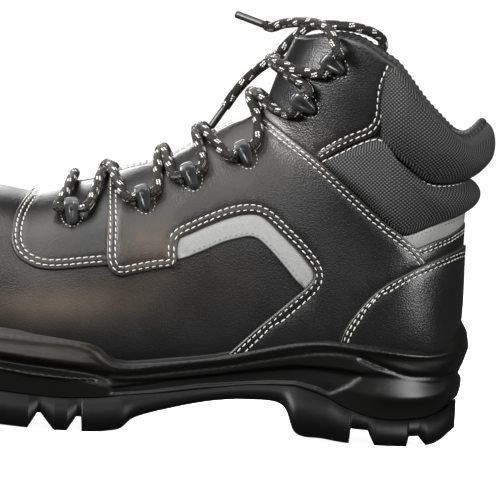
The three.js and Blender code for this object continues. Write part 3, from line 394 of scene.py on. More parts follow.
def spline(points, per_segment=12):
    """Centripetal Catmull-Rom curve through points."""
    p = np.asarray(points, float)
    p = np.vstack([2 * p[0] - p[1], p, 2 * p[-1] - p[-2]])
    gap = np.maximum(np.linalg.norm(np.diff(p, axis=0), axis=1) ** 0.5, 1e-4)[:, None]
    a, b, c, d = p[:-3], p[1:-2], p[2:-1], p[3:]
    g0, g1, g2 = gap[:-2], gap[1:-1], gap[2:]
    start = ((b - a) / g0 - (c - a) / (g0 + g1) + (c - b) / g1) * g1
    end = ((c - b) / g1 - (d - b) / (g1 + g2) + (d - c) / g2) * g1
    t = (np.arange(per_segment) / per_segment)[None, :, None]
    b, c, start, end = b[:, None], c[:, None], start[:, None], end[:, None]
    curve = b + start * t + (3 * (c - b) - 2 * start - end) * t ** 2 + (2 * (b - c) + start + end) * t ** 3
    return np.vstack([curve.reshape(-1, p.shape[1]), p[-2]])


def resample(points, step=None, count=None):
    """The polyline with even steps along its length."""
    p = np.asarray(points, float)
    length = np.concatenate([[0], np.cumsum(np.linalg.norm(np.diff(p, axis=0), axis=1))])
    count = count or max(2, int(round(length[-1] / step)) + 1)
    spots = np.linspace(0, length[-1], count)
    return np.stack([np.interp(spots, length, p[:, k]) for k in range(p.shape[1])], 1)


def side_view(line):
    """Shares of a side-view line in millimetres."""
    return np.asarray(line, float) * (LENGTH, BOOT_HEIGHT)


def trace(line, step=1.1, sharp=False):
    """A side-view line as rows (u, angle) on the outer half. It starts on the ridge or ends on the back
    line where its points lie past them."""
    p = side_view(line)
    p = resample(p if sharp else spline(p), step)
    u, angle, share = place_at(p[:, 0], p[:, 1])
    if share[0] < 0:
        first = int(np.argmax(share > 0))
        u, angle, share = u[first - 1:], angle[first - 1:], share[first - 1:]
        angle[0] = 0
    if share[-1] > 1:
        last = int(np.argmax(share > 1))
        f = (1 - share[last - 1]) / (share[last] - share[last - 1])
        u_back = u[last - 1] + (u[last] - u[last - 1]) * f
        u, angle = u[:last + 1], angle[:last + 1]
        u[-1], angle[-1] = u_back, np.pi
    return np.stack([u, angle], 1)


def side_line(points, side, **options):
    """A side-view line traced on the outer (1) or inner (-1) side."""
    return trace(points, **options) * (1, side)


def clear_of_throat(line, side):
    """The part of a traced line that lies outside the throat's opening on one side."""
    return line[line[:, 1] >= throat_angle(line[:, 0], side)]


def behind(line):
    """An outer line carried on round the heel's back line: its own points, then the inner ones past pi."""
    return np.vstack([line, (line * (1, -1) + (0, 2 * np.pi))[::-1][1:]])


def softened(line, times):
    """The line with each inner point drawn towards its neighbours, again and again."""
    for _ in range(times):
        line = np.vstack([line[:1], (line[:-2] + 2 * line[1:-1] + line[2:]) / 4, line[-1:]])
    return line


def shifted(line, distance):
    """The line moved to its left, seen from outside the boot, by a distance in millimetres."""
    line = softened(np.asarray(line, float), 2)
    along, around = slopes(line[:, 0], line[:, 1])
    step = np.gradient(softened(line, 6), axis=0)
    tangent = unit(along * step[:, :1] + around * step[:, 1:])
    left = np.cross(unit(np.cross(around, along)), tangent)
    uu, ua, aa = (along * along).sum(1), (along * around).sum(1), (around * around).sum(1)
    lu, la = (along * left).sum(1), (around * left).sum(1)
    area = uu * aa - ua * ua
    du, da = (lu * aa - la * ua) / area, (la * uu - lu * ua) / area
    return softened(line + np.stack([du, da], 1) * distance, 3)


def seam_rows(pairs, side=1):
    """Seam rows beside lines: each line with its distances in millimetres, plus to its left on the outer
    side."""
    return [shifted(line, distance * side) for line, distances in pairs for distance in distances]


# Objects

BOX_LOW, BOX_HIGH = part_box("midsole")
OUTER_REACH = BALL_WIDTH * smooth(PLAN["outer"], np.linspace(0, len(PLAN_ROWS) - 1, 400)).max()
SHIFT = np.array([BOX_LOW.x * 1000, BOX_HIGH.y * 1000 - OUTER_REACH, 0])


def to_frame(points):
    """Boot millimetres to the frame's metres."""
    return (np.asarray(points, float) + SHIFT) * 0.001


def add_mesh(name, points, faces, material, uv=None, fields=None):
    """A smooth-shaded object from boot points and faces of three or four corners each, riding on the one
    body. uv holds one pair for each vertex, and fields named numbers for each vertex."""
    points = to_frame(points)
    faces = np.asarray(faces)
    mesh = bpy.data.meshes.new(name)
    corners = faces.shape[1]
    mesh.vertices.add(len(points))
    mesh.vertices.foreach_set("co", points.astype(np.float32).ravel())
    mesh.loops.add(faces.size)
    mesh.loops.foreach_set("vertex_index", faces.astype(np.int32).ravel())
    mesh.polygons.add(len(faces))
    mesh.polygons.foreach_set("loop_start", np.arange(0, faces.size, corners, dtype=np.int32))
    mesh.polygons.foreach_set("loop_total", np.full(len(faces), corners, np.int32))
    mesh.polygons.foreach_set("use_smooth", np.ones(len(faces), bool))
    if uv is not None:
        layer = mesh.uv_layers.new(name="UVMap")
        layer.data.foreach_set("uv", np.asarray(uv, np.float32)[faces.ravel()].ravel())
    for key, value in (fields or {}).items():
        attribute = mesh.attributes.new(key, "FLOAT", "POINT")
        attribute.data.foreach_set("value", np.asarray(value, np.float32))
    mesh.update(calc_edges=True)
    mesh.validate()
    made = bpy.data.objects.new(name, mesh)
    bpy.context.scene.collection.objects.link(made)
    mesh.materials.append(material)
    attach(made, "root")
    return made


def grid_faces(rows, columns, close_rows=False, close_columns=False):
    """Quads of a grid of points stored row by row."""
    r = np.arange(rows if close_rows else rows - 1)[:, None]
    c = np.arange(columns if close_columns else columns - 1)[None, :]
    r2, c2 = (r + 1) % rows, (c + 1) % columns
    quads = np.stack([r * columns + c, r * columns + c2, r2 * columns + c2, r2 * columns + c], -1)
    return quads.reshape(-1, 4)


# Materials

def material(name, base, roughness, **settings):
    """A principled material and its shader, with constants on the shader's own sockets."""
    made = bpy.data.materials.new(name)
    made.use_nodes = True
    shader = made.node_tree.nodes["Principled BSDF"]
    shader.inputs["Base Color"].default_value = (*base, 1)
    shader.inputs["Roughness"].default_value = roughness
    for key, value in settings.items():
        shader.inputs[key.replace("_", " ")].default_value = value
    return made, shader


def node(made, kind, links=(), **values):
    """A new node: links is (socket name or number, source socket) pairs, values are socket values by
    name."""
    tree = made.node_tree
    new = tree.nodes.new(kind)
    for key, value in values.items():
        key = key.replace("_", " ")
        if key in new.inputs:
            new.inputs[key].default_value = value
        else:
            setattr(new, key.replace(" ", "_"), value)
    for socket, source in links:
        tree.links.new(source, new.inputs[socket])
    return new


def link(made, source, target):
    """A link between two sockets."""
    made.node_tree.links.new(source, target)


def maths(made, operation, a, b=None):
    """A math node between sockets or numbers."""
    new = made.node_tree.nodes.new("ShaderNodeMath")
    new.operation = operation
    for i, value in enumerate((a, b)):
        if value is None:
            continue
        if isinstance(value, (int, float)):
            new.inputs[i].default_value = value
        else:
            link(made, value, new.inputs[i])
    return new.outputs[0]


def place_in_mm(made):
    """Object coordinates in millimetres."""
    place = node(made, "ShaderNodeTexCoord").outputs["Object"]
    return node(made, "ShaderNodeMapping", [("Vector", place)], Scale=(1000, 1000, 1000)).outputs["Vector"]


def uv_pair(made):
    """The two numbers of the mesh's own coordinates."""
    uv = node(made, "ShaderNodeUVMap", uv_map="UVMap")
    split = node(made, "ShaderNodeSeparateXYZ", [("Vector", uv.outputs["UV"])])
    return split.outputs["X"], split.outputs["Y"]


def noise(made, place, scale, detail, **settings):
    """Height of a noise texture."""
    return node(made, "ShaderNodeTexNoise", [("Vector", place)], Scale=scale, Detail=detail,
                **settings).outputs["Fac"]


def attribute(made, name):
    """A named number of the mesh."""
    return node(made, "ShaderNodeAttribute", attribute_name=name).outputs["Fac"]


def ramp(made, value, low, high, to_low=0.0, to_high=1.0):
    """A smooth step of the value between two bounds."""
    new = node(made, "ShaderNodeMapRange", [("Value", value)], **{
        "From_Min": low, "From_Max": high, "To_Min": to_low, "To_Max": to_high})
    new.interpolation_type = "SMOOTHSTEP"
    return new.outputs["Result"]


def mixed(made, share, a, b):
    """Colour between two colours or sockets."""
    new = node(made, "ShaderNodeMix", data_type="RGBA")
    new.data_type = "RGBA"
    link(made, share, new.inputs["Factor"])
    for key, value in (("A", a), ("B", b)):
        socket = [s for s in new.inputs if s.name == key and s.type == "RGBA"][0]
        if isinstance(value, tuple):
            socket.default_value = (*value, 1)
        else:
            link(made, value, socket)
    return [s for s in new.outputs if s.type == "RGBA"][0]


def bump(made, height, distance, strength=1.0):
    """Normal of a relief that is a distance in metres deep."""
    return node(made, "ShaderNodeBump", [("Height", height)], Distance=distance,
                Strength=strength).outputs["Normal"]


def leather():
    """Smooth corrected leather: fine grain, patches of warm brown that are a painted highlight, a grey raw
    edge.
    """
    made, shader = material("leather", (0.006, 0.006, 0.006), 0.34, Specular_IOR_Level=0.45)
    place = place_in_mm(made)
    grain = node(made, "ShaderNodeTexVoronoi", [("Vector", place)], Scale=1.5).outputs["Distance"]
    wrinkle = noise(made, place, 1.1, 4.0, Roughness=0.6)
    cloud = noise(made, place, 0.05, 4.0)
    # The warm brown patches are a painted highlight: sheen laid into the base colour where the light falls.
    warm = maths(made, "MULTIPLY", attribute(made, "warm"), ramp(made, cloud, 0.3, 0.7, 0.6, 1.0))
    body = mixed(made, warm, (0.0055, 0.0055, 0.0056), (0.062, 0.047, 0.035))
    edge = maths(made, "MULTIPLY", attribute(made, "edge"), 0.5)
    link(made, mixed(made, edge, body, (0.09, 0.086, 0.082)), shader.inputs["Base Color"])
    link(made, ramp(made, cloud, 0.3, 0.7, 0.29, 0.37), shader.inputs["Roughness"])
    relief = maths(made, "ADD", grain, wrinkle)
    link(made, bump(made, relief, 0.00010, 0.8), shader.inputs["Normal"])
    return made


def plain(name, base, roughness, scale=1.2, depth=0.00004, **settings):
    """A matt material with a fine uneven surface."""
    made, shader = material(name, base, roughness, **settings)
    link(made, bump(made, noise(made, place_in_mm(made), scale, 5.0), depth), shader.inputs["Normal"])
    return made


def tape():
    """Reflective tape: pale grey cloth with a very fine glass-bead texture."""
    made, shader = material("tape", (0.19, 0.192, 0.185), 0.45)
    beads = noise(made, place_in_mm(made), 2.2, 3.0)
    body = mixed(made, ramp(made, beads, 0.3, 0.7), (0.165, 0.167, 0.16), (0.215, 0.217, 0.21))
    link(made, mixed(made, attribute(made, "edge"), body, (0.12, 0.12, 0.12)), shader.inputs["Base Color"])
    link(made, bump(made, beads, 0.00004), shader.inputs["Normal"])
    return made


def wave(made, value, pitch):
    """Sine of a length with a pitch in millimetres."""
    return maths(made, "SINE", maths(made, "MULTIPLY", value, 2 * math.pi / pitch))


def roll_mesh():
    """Woven collar cloth: ribs across the roll near its seams, rows of raised dots between them."""
    made, shader = material("mesh", (0.03, 0.031, 0.032), 0.75, Specular_IOR_Level=0.3)
    u, v = uv_pair(made)
    rib = wave(made, u, 1.1)
    dots = maths(made, "MULTIPLY", wave(made, u, 1.6), wave(made, v, 1.6))
    off = maths(made, "ABSOLUTE", maths(made, "SUBTRACT", attribute(made, "across"), 0.5))
    middle = ramp(made, off, 0.44, 0.38)
    turned = maths(made, "MULTIPLY", maths(made, "SUBTRACT", dots, rib), middle)
    height = maths(made, "ADD", rib, turned)
    body = mixed(made, ramp(made, height, -0.1, 0.6), (0.003, 0.0031, 0.0032), (0.065, 0.066, 0.065))
    link(made, body, shader.inputs["Base Color"])
    link(made, bump(made, height, 0.00018), shader.inputs["Normal"])
    return made


def lace_cord():
    """Black braid with pairs of slanted white flecks, staggered from one of its four sides to the next."""
    made, shader = material("braid", (0.014, 0.012, 0.010), 0.6, Specular_IOR_Level=0.35)
    along, around = uv_pair(made)
    slant = maths(made, "MULTIPLY", around, 1.1)
    one = wave(made, maths(made, "ADD", along, slant), 1.15)
    two = wave(made, maths(made, "SUBTRACT", along, slant), 1.15)
    weave = maths(made, "MAXIMUM", one, two)
    quarter = maths(made, "ADD", maths(made, "MULTIPLY", around, 4 / (2 * math.pi)),
                    maths(made, "MULTIPLY", along, 0.07))
    stagger = maths(made, "MULTIPLY", maths(made, "FLOOR", quarter), 0.5)
    phase = maths(made, "ADD", maths(made, "MULTIPLY", along, 1 / 8.4), stagger)
    dash = maths(made, "LESS_THAN", maths(made, "FRACT", phase), 0.34)
    off = maths(made, "ABSOLUTE", maths(made, "SUBTRACT", maths(made, "FRACT", quarter), 0.5))
    pair = maths(made, "LESS_THAN", maths(made, "ABSOLUTE", maths(made, "SUBTRACT", off, 0.17)), 0.1)
    raised = maths(made, "GREATER_THAN", weave, -0.2)
    fleck = maths(made, "MULTIPLY", maths(made, "MULTIPLY", dash, pair), raised)
    link(made, mixed(made, fleck, (0.010, 0.0088, 0.0075), (0.72, 0.71, 0.67)), shader.inputs["Base Color"])
    link(made, bump(made, weave, 0.0003), shader.inputs["Normal"])
    return made


def sole_skin():
    """Glossy moulded foam, near black, with brown streaks along the toe's bumper."""
    black = (0.0025, 0.0024, 0.0022)
    made, shader = material("sole_foam", black, 0.36, Specular_IOR_Level=0.34)
    place = place_in_mm(made)
    drawn_out = node(made, "ShaderNodeMapping", [("Vector", place)], Scale=(0.12, 1, 1)).outputs["Vector"]
    streak = ramp(made, noise(made, drawn_out, 0.45, 5.0), 0.3, 0.7, 0.25, 1.0)
    warm = maths(made, "MULTIPLY", attribute(made, "warm"), streak)
    link(made, mixed(made, warm, black, (0.017, 0.0135, 0.010)), shader.inputs["Base Color"])
    link(made, ramp(made, warm, 0.0, 1.0, 0.35, 0.46), shader.inputs["Roughness"])
    link(made, bump(made, noise(made, place, 1.6, 3.0), 0.00004), shader.inputs["Normal"])
    return made


LEATHER = leather()
TAPE = tape()
ROLL_MESH = roll_mesh()
BRAID = lace_cord()
FOAM_SKIN = sole_skin()
RUBBER = plain("tread_rubber", (0.003, 0.003, 0.003), 0.4, scale=1.6, Specular_IOR_Level=0.16)
LOOP_PLASTIC = plain(
    "loop_plastic", (0.02, 0.0205, 0.021), 0.3, scale=0.5, depth=0.00003, Specular_IOR_Level=0.7)
THREAD_WHITE = plain("thread_white", (0.45, 0.44, 0.41), 0.6, scale=3.0)
THREAD_GREY = plain("thread_grey", (0.07, 0.07, 0.07), 0.7, scale=3.0)
LINING = plain("lining", (0.04, 0.032, 0.025), 0.95, scale=2.0, depth=0.0005, Sheen_Weight=0.3)
BINDING = plain("binding", (0.004, 0.004, 0.004), 0.6, scale=1.5, depth=0.0003)
SHEATH = plain("sheath", (0.02, 0.019, 0.018), 0.3)
FOOTBED = plain("footbed", (0.03, 0.03, 0.03), 0.95, scale=2.0, depth=0.0002)


# Panels

FLAT_SCALE = np.array((12, 36))  # millimetres a section row and a radian, roughly
SEAM_HALF = 0.75
SEAM_DEPTH = 0.34
EDGE_PROFILE = ((0, 0), (0, 0.55), (0.14, 0.86), (0.55, 1.0))


def flat(line):
    """Rows (u, angle) as flat points of about a millimetre to the unit, seen from outside."""
    return (np.asarray(line, float) * FLAT_SCALE)[:, ::-1]


def signed_area(p):
    """Area of a flat closed outline, plus when it runs counter-clockwise."""
    q = np.roll(p, -1, 0)
    return 0.5 * (p[:, 0] * q[:, 1] - q[:, 0] * p[:, 1]).sum()


def is_inside(points, outline):
    """Whether flat points lie inside a flat closed outline, by counting crossings."""
    a, b = outline, np.roll(outline, -1, 0)
    x, y = points[:, 0:1], points[:, 1:2]
    crosses = (a[:, 1] > y) != (b[:, 1] > y)
    rise = np.where(b[:, 1] == a[:, 1], 1e-9, b[:, 1] - a[:, 1])
    edge_x = a[:, 0] + (b[:, 0] - a[:, 0]) * (y - a[:, 1]) / rise
    return (crosses & (x < edge_x)).sum(1) % 2 == 1


def nearest(points, others):
    """Distance from each flat point to the nearest of the others."""
    best = np.full(len(points), np.inf)
    for start in range(0, len(others), 400):
        gaps = points[:, None] - others[None, start:start + 400]
        best = np.minimum(best, (gaps ** 2).sum(2).min(1))
    return np.sqrt(best)


def closed_outline(*lines):
    """One closed outline through rows of (u, angle), counter-clockwise from outside, without double
    points."""
    outline = np.vstack(lines)
    p = last_point(outline[:, 0], outline[:, 1])
    keep = np.linalg.norm(p - np.roll(p, 1, 0), axis=1) > 0.3
    outline = outline[keep]
    return outline if signed_area(flat(outline)) > 0 else outline[::-1]


def triangles(outline, inner):
    """Constrained Delaunay triangles inside the outline, as corners into outline then inner points."""
    points = np.vstack([flat(outline), flat(inner)])
    n = len(outline)
    result = delaunay_2d_cdt([Vector(p) for p in points], [], [list(range(n))], 1, 1e-5, True)
    source = np.array([ids[0] if ids else -1 for ids in result[3]])
    faces = source[np.array([face for face in result[2] if len(face) == 3])]
    faces = faces[(faces >= 0).all(1)]
    a, b, c = (points[faces[:, k]] for k in range(3))
    turn = (b[:, 0] - a[:, 0]) * (c[:, 1] - a[:, 1]) - (b[:, 1] - a[:, 1]) * (c[:, 0] - a[:, 0])
    faces = np.where(turn[:, None] > 0, faces, faces[:, ::-1])
    return faces[is_inside((a + b + c) / 3, points[:n])]


# Places in the side view where a warm brown highlight is painted on the leather, as sheen where the light
# falls: x, z, half width and half height in millimetres, and the strength
PAINTED_SHEEN_SPOTS = (
    (196, 52, 34, 7, 0.5), (176, 56, 26, 8, 0.55), (150, 60, 22, 9, 0.3), (139, 81, 13, 15, 0.9),
    (104, 112, 16, 14, 0.3), (80, 127, 17, 9, 0.45), (190, 80, 16, 12, 0.3), (112, 70, 18, 10, 0.15))


def painted_sheen(points):
    """How much painted warm highlight the leather gets at each point: soft patches about the listed spots,
    alike on both sides."""
    total = np.zeros(len(points))
    for x, z, half_x, half_z, strength in PAINTED_SHEEN_SPOTS:
        away = ((points[:, 0] - x) / half_x) ** 2 + ((points[:, 2] - z) / half_z) ** 2
        total += strength * np.exp(-away)
    return np.clip(total, 0, 1)


def no_relief(u, angle):
    return np.zeros_like(u)


def panel(name, outline, slot, finish, thickness, seat=GAP, seams=(), spacing=1.8, relief=no_relief,
          profile=EDGE_PROFILE):
    """A sheet on the last inside a closed outline: walls with a rounded edge, seam troughs and a relief in
    millimetres on top, and a flat underside at its seat. Its inner points are the seams' rows and a grid of
    even triangles between them."""
    base = last_point(outline[:, 0], outline[:, 1])
    normal = last_normal(outline[:, 0], outline[:, 1])
    inward = np.cross(normal, unit(np.roll(base, -1, 0) - np.roll(base, 1, 0)))
    full = thickness + relief(outline[:, 0], outline[:, 1])
    rings = [base + inward * inset + normal * (seat + share * full)[:, None] for inset, share in profile]

    edge = flat(outline)
    rows, depths = [np.zeros((0, 2))], [np.zeros(0)]
    for seam in seams:
        for across, depth in ((-SEAM_HALF, 0), (0, SEAM_DEPTH), (SEAM_HALF, 0)):
            rows.append(shifted(seam, across))
            depths.append(np.full(len(rows[-1]), depth))
    rows, depths = np.vstack(rows), np.concatenate(depths)
    here = flat(rows)
    keep = is_inside(here, edge) & (nearest(here, edge) > 0.85)
    rows, depths, here = rows[keep], depths[keep], here[keep]

    low, high = edge.min(0), edge.max(0)
    grid_x = np.arange(low[0], high[0] + spacing, spacing)
    grid_y = np.arange(low[1], high[1] + spacing, spacing * 0.87)
    grid = np.stack(np.meshgrid(grid_x, grid_y), -1)
    grid[1::2, :, 0] += spacing / 2
    grid = grid.reshape(-1, 2)
    grid = grid[is_inside(grid, edge)]
    grid = grid[nearest(grid, edge) > 1.25]
    grid = grid[nearest(grid, here) > 1.0]
    inner = np.vstack([rows, grid[:, ::-1] / FLAT_SCALE])
    u, angle = inner.T
    dips = np.concatenate([depths, np.zeros(len(grid))])
    top = on_last(u, angle, seat + thickness + relief(u, angle) - dips)
    under = on_last(u, angle, np.full(len(u), float(seat)))

    n, levels = len(outline), len(rings)
    first_inner = n * levels
    corners = triangles(outline, inner)
    walls = grid_faces(levels, n, close_columns=True)
    walls = np.vstack([walls[:, [0, 1, 2]], walls[:, [0, 2, 3]]])
    top_faces = np.where(corners < n, corners + n * (levels - 1), corners - n + first_inner)
    under_faces = np.where(corners < n, corners, corners - n + first_inner + len(inner))[:, ::-1]
    points = np.vstack(rings + [top, under])
    raw_edge = np.zeros(len(points))
    raw_edge[n:3 * n] = 1
    # The warm field holds the painted warm highlight that the leather material reads.
    return add_mesh(name, points, np.vstack([walls, top_faces, under_faces]), finish,
                    fields={"edge": raw_edge, "warm": painted_sheen(points)})


def leather_panel(name, cad_node, outline, thickness, seams, **options):
    """A leather panel in place of a solid, with white stitches along its seams."""
    seams_white.extend((seam, GAP + thickness) for seam in seams)
    made = panel(name, outline, "leather", LEATHER, thickness, seams=seams, **options)
    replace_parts(made, cad_node)


def tape_panel(name, cad_node, outline, seams):
    """A reflective tape in place of a solid, with grey stitches along its seams."""
    seams_grey.extend((seam, GAP + STRIP) for seam in seams)
    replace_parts(panel(name, outline, "tape", TAPE, STRIP, seams=seams), cad_node)


def throat_edge(side, u_from, u_to):
    """Row along the throat's edge between two section rows."""
    u = np.linspace(u_from, u_to, max(3, int(abs(u_to - u_from) * 11)))
    return np.stack([u, side * throat_angle(u, side)], 1)


def throat_front():
    """Row over the ridge along the front end of the throat, from its outer to its inner edge."""
    outer, inner = (throat_angle(np.array(THROAT_FROM), side) for side in (1, -1))
    across = np.linspace(outer, -inner, 12)
    return np.stack([np.full_like(across, THROAT_FROM), across], 1)


def clip_throat(outline, side):
    """A closed outline on the outer half cut back to the throat's edge of a side, then put on that side."""
    keep = np.abs(outline[:, 1]) >= throat_angle(outline[:, 0], side)
    start = int(np.argmax(keep & ~np.roll(keep, 1)))
    outline, keep = np.roll(outline, -start, 0), np.roll(keep, -start)
    kept = outline[:int(np.argmin(keep)) if not keep.all() else len(outline)] * (1, side)
    return np.vstack([kept, throat_edge(side, kept[-1, 0], kept[0, 0])])


# Upper

BINDING_RADIUS = 1.9
BINDING_STEP = 0.6
SIDE_NAMES = {"outer": 1, "inner": -1}
seams_white = []
seams_grey = []


def vamp_relief(u, angle):
    """Soft forms of the vamp: the edge of the hard toe cap inside and slight hollows where the ball
    bends."""
    p = last_point(u, angle)
    px, pz = p[..., 0] / LENGTH, p[..., 2] / BOOT_HEIGHT
    cap = 0.35 * np.exp(-((px - 0.765 - 0.10 * (pz - 0.4)) / 0.012) ** 2)
    hollow = -0.5 * np.exp(-(((px - 0.545) / 0.05) ** 2 + ((pz - 0.33) / 0.06) ** 2))
    return cap + hollow


def shell_outline():
    """The whole upper from the toe to the collar, open along the throat, in angles from -pi to pi."""
    collar = trace(COLLAR_LINE)
    outer, inner = (clear_of_throat(collar, side) for side in (1, -1))
    back = np.arange(0.1, outer[-1, 0] - 0.05, 0.12)
    foot = np.linspace(-np.pi, np.pi, 40)
    return closed_outline(
        np.stack([back, np.full_like(back, np.pi)], 1),
        outer[::-1],
        throat_edge(1, outer[0, 0], THROAT_FROM),
        throat_front(),
        throat_edge(-1, THROAT_FROM, inner[0, 0]),
        inner * (1, -1),
        np.stack([back[::-1], np.full_like(back, -np.pi)], 1),
        np.stack([np.full_like(foot, 0.1), foot], 1))


def quarter_outline(side):
    """The quarter on one side: from the throat down its front edge, round the window, back along the
    counter."""
    foot = trace(((0.3450, 0.205), (0.19, 0.205)), sharp=True)
    lower = trace(FACING_LOWER, sharp=True)
    return clip_throat(np.vstack([
        trace(FACING_FOOT), trace(WINDOW_EDGE), lower, foot, trace(COUNTER_TOP[:8]),
        trace(FACING_REAR)[::-1]]), side)


def ankle_outline(side):
    """The ankle panel on one side, between quarter, throat, collar and upper roll."""
    return clip_throat(np.vstack([
        trace(ANKLE_REAR), trace(FACING_REAR[:3])[::-1], trace(COLLAR_LINE[:8])]), side)


def front_outline(edge):
    """The front eyestay over the ridge ahead of the throat, with a leg down each side of it."""
    rear = trace(((0.5220, 0.4085), (0.5220, 0.700)), sharp=True)
    outer, inner = (clear_of_throat(rear, side) for side in (1, -1))
    return closed_outline(
        edge, outer,
        throat_edge(1, outer[-1, 0], THROAT_FROM),
        throat_front(),
        throat_edge(-1, THROAT_FROM, inner[-1, 0]),
        (inner * (1, -1))[::-1], (edge * (1, -1))[::-1])


def heel_outline(top, bottom):
    """A band round the heel between two lines that start on the outer side."""
    return closed_outline(behind(trace(top)), behind(trace(bottom))[::-1])


def build_upper():
    """The shell's leather and the felt that lines it, both inside the outline of the whole upper."""
    outline = shell_outline()
    shell = panel("upper_leather", outline, "leather", LEATHER, SHELL_LEATHER, seat=-SHELL_LEATHER,
                  spacing=2.3, relief=vamp_relief)
    lining = panel("upper_lining", outline, "felt", LINING, LINING_FELT, seat=-WALL, spacing=3.2,
                   profile=((0, 0), (0, 1.0), (0.3, 1.0)))
    for made in (shell, lining):
        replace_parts(made, "upper")


def build_front():
    edge = trace(FRONT_FACING)
    run = np.vstack([(edge * (1, -1))[::-1], edge[1:]])
    leather_panel("front_eyestay", "front_facing", front_outline(edge), FRONT_LEATHER,
                  seam_rows([(run, (1.6, 4.0))]))


def build_sides():
    """Quarters, then ankle panels, on both sides."""
    for name, side in SIDE_NAMES.items():
        front = side_line(FACING_FOOT + WINDOW_EDGE[:2], side)
        front = front[np.abs(front[:, 1]) > throat_angle(front[:, 0], side) + 0.03]
        window = side_line(WINDOW_EDGE[1:] + FACING_LOWER[1:], side)
        rear = side_line(FACING_REAR, side)
        rear = rear[np.abs(rear[:, 1]) > throat_angle(rear[:, 0], side) + 0.03]
        throat = throat_edge(side, 11.2, 15.4)
        seams = seam_rows([(front, (1.3, 3.6)), (window, (1.6, 4.0)), (rear, (-1.4, -3.4)),
                           (throat, (1.3, 3.0))], side)
        leather_panel(f"quarter_{name}", f"facing_{name}", closed_outline(quarter_outline(side)),
                      QUARTER_LEATHER, seams)
    for name, side in SIDE_NAMES.items():
        seams = seam_rows([(side_line(ANKLE_REAR, side), (-1.6, -3.9))], side)
        leather_panel(f"ankle_{name}", f"top_facing_{name}", closed_outline(ankle_outline(side)),
                      ANKLE_LEATHER, seams)


def build_heel():
    """Counter, band and tape round the heel, from the sole up."""
    top = behind(trace(COUNTER_TOP))
    foot = behind(trace(((0.1905, 0.190), (-0.05, 0.190)), sharp=True))
    leather_panel("heel_counter", "counter", closed_outline(top, foot[::-1]), COUNTER_LEATHER,
                  seam_rows([(top, (-1.3, -3.0))]))
    leather_panel("heel_band_leather", "heel_band", heel_outline(STRIP_FOOT, COUNTER_TOP[6:]), BAND_LEATHER,
                  seam_rows([(behind(trace(STRIP_FOOT)), (-1.3, -2.7))]))
    tape_panel("heel_tape_cloth", "heel_tape", heel_outline(ROLL_FOOT[2:], STRIP_FOOT),
               seam_rows([(behind(trace(ROLL_FOOT[2:])), (-1.4,))]))


def build_side_tapes():
    for name, side in SIDE_NAMES.items():
        outline = closed_outline(np.vstack([trace(WINDOW_EDGE), trace(STRIP_INNER)]) * (1, side))
        tape_panel(f"window_tape_{name}", f"side_tape_{name}", outline,
                   seam_rows([(side_line(STRIP_INNER, side), (-1.5,))], side))


def tongue_angle(u, side):
    """Angle of the tongue's edge on the outer (1) or inner (-1) side."""
    s = section(u)
    width = s["outer"] if side > 0 else s["inner"]
    reach = np.clip((TONGUE_HALF - side * s["centre"]) / width, 0, 0.97)
    return np.arcsin(reach ** (s["top_round"] / 2))


def build_tongue():
    """The tongue under the throat: a thick sheet between two section rows, round at its edges."""
    u = np.linspace(TONGUE_FROM, TONGUE_TO, 120)
    outer, inner = (tongue_angle(u, side) for side in (1, -1))
    top = np.linspace(outer[-1], -inner[-1], 40)
    low = np.linspace(-inner[0], outer[0], 40)
    outline = closed_outline(
        np.stack([u, outer], 1), np.stack([np.full_like(top, u[-1]), top], 1),
        np.stack([u, -inner], 1)[::-1], np.stack([np.full_like(low, u[0]), low], 1))
    made = panel("tongue_padded", outline, "leather", LEATHER, TONGUE, seat=-WALL - GAP - TONGUE,
                 spacing=2.5, profile=((0, 0), (0, 0.3), (0.3, 0.7), (1.2, 1.0)))
    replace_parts(made, "tongue")


def cloth_uv(ground):
    """Cloth wrapped round the shaft: straight along both sides, x - c, and round the heel by R * turn, with
    the height as second coordinate."""
    forward = ground[..., 0] - ground[..., 0].min() - HEEL_TURN
    turn = np.arctan2(np.maximum(-forward, 0), np.abs(ground[..., 1]))
    around = np.where(forward > 0, forward, -HEEL_TURN * turn)
    around = np.where(ground[..., 1] >= 0, around, -np.pi * HEEL_TURN - around)
    return np.stack([around, ground[..., 2]], -1)


def closed_section(top, under):
    """Rows of a roll's top and, run back without their end points, of its underside."""
    return np.concatenate([top, under[:, ::-1][:, 1:-1]], 1)


def build_roll(name, cad_node, lower, upper, thickness, front_rise):
    """A foam roll: the surface between two seams swells by a power of a half sine wave, and flattens to
    nothing where its front ends run under the panels."""
    rows, columns = 260, 30
    low = behind(resample(trace(lower), count=rows // 2))
    high = behind(resample(trace(upper), count=rows // 2))
    share = np.linspace(0, 1, columns)
    t = share[None, :, None]
    spots = low[:, None] * (1 - t) + high[:, None] * t
    u, angle = spots[..., 0], spots[..., 1]
    ground = last_point(u, angle)
    normal = last_normal(u, angle)
    along = np.cumsum(np.linalg.norm(np.diff(ground[:, columns // 2], axis=0), axis=1))
    along = np.concatenate([[0], along])
    puff = np.clip(np.minimum(along, along[-1] - along) / front_rise, 0, 1)
    puff = (puff * (2 - puff))[:, None]
    swell = np.sin(np.pi * share)[None] ** 0.62
    height = GAP + puff * ROLL_EDGE * 0.6 + thickness * puff * swell
    ring = closed_section(ground + normal * height[..., None], ground + normal * 0.1)
    uv = cloth_uv(ground)
    uv = closed_section(uv, uv)
    shares = np.broadcast_to(share, u.shape)
    shares = closed_section(shares, shares)
    faces = grid_faces(*ring.shape[:2], close_columns=True)
    made = add_mesh(name, ring.reshape(-1, 3), faces, ROLL_MESH, uv=uv.reshape(-1, 2),
                    fields={"across": shares.ravel()})
    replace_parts(made, cad_node)


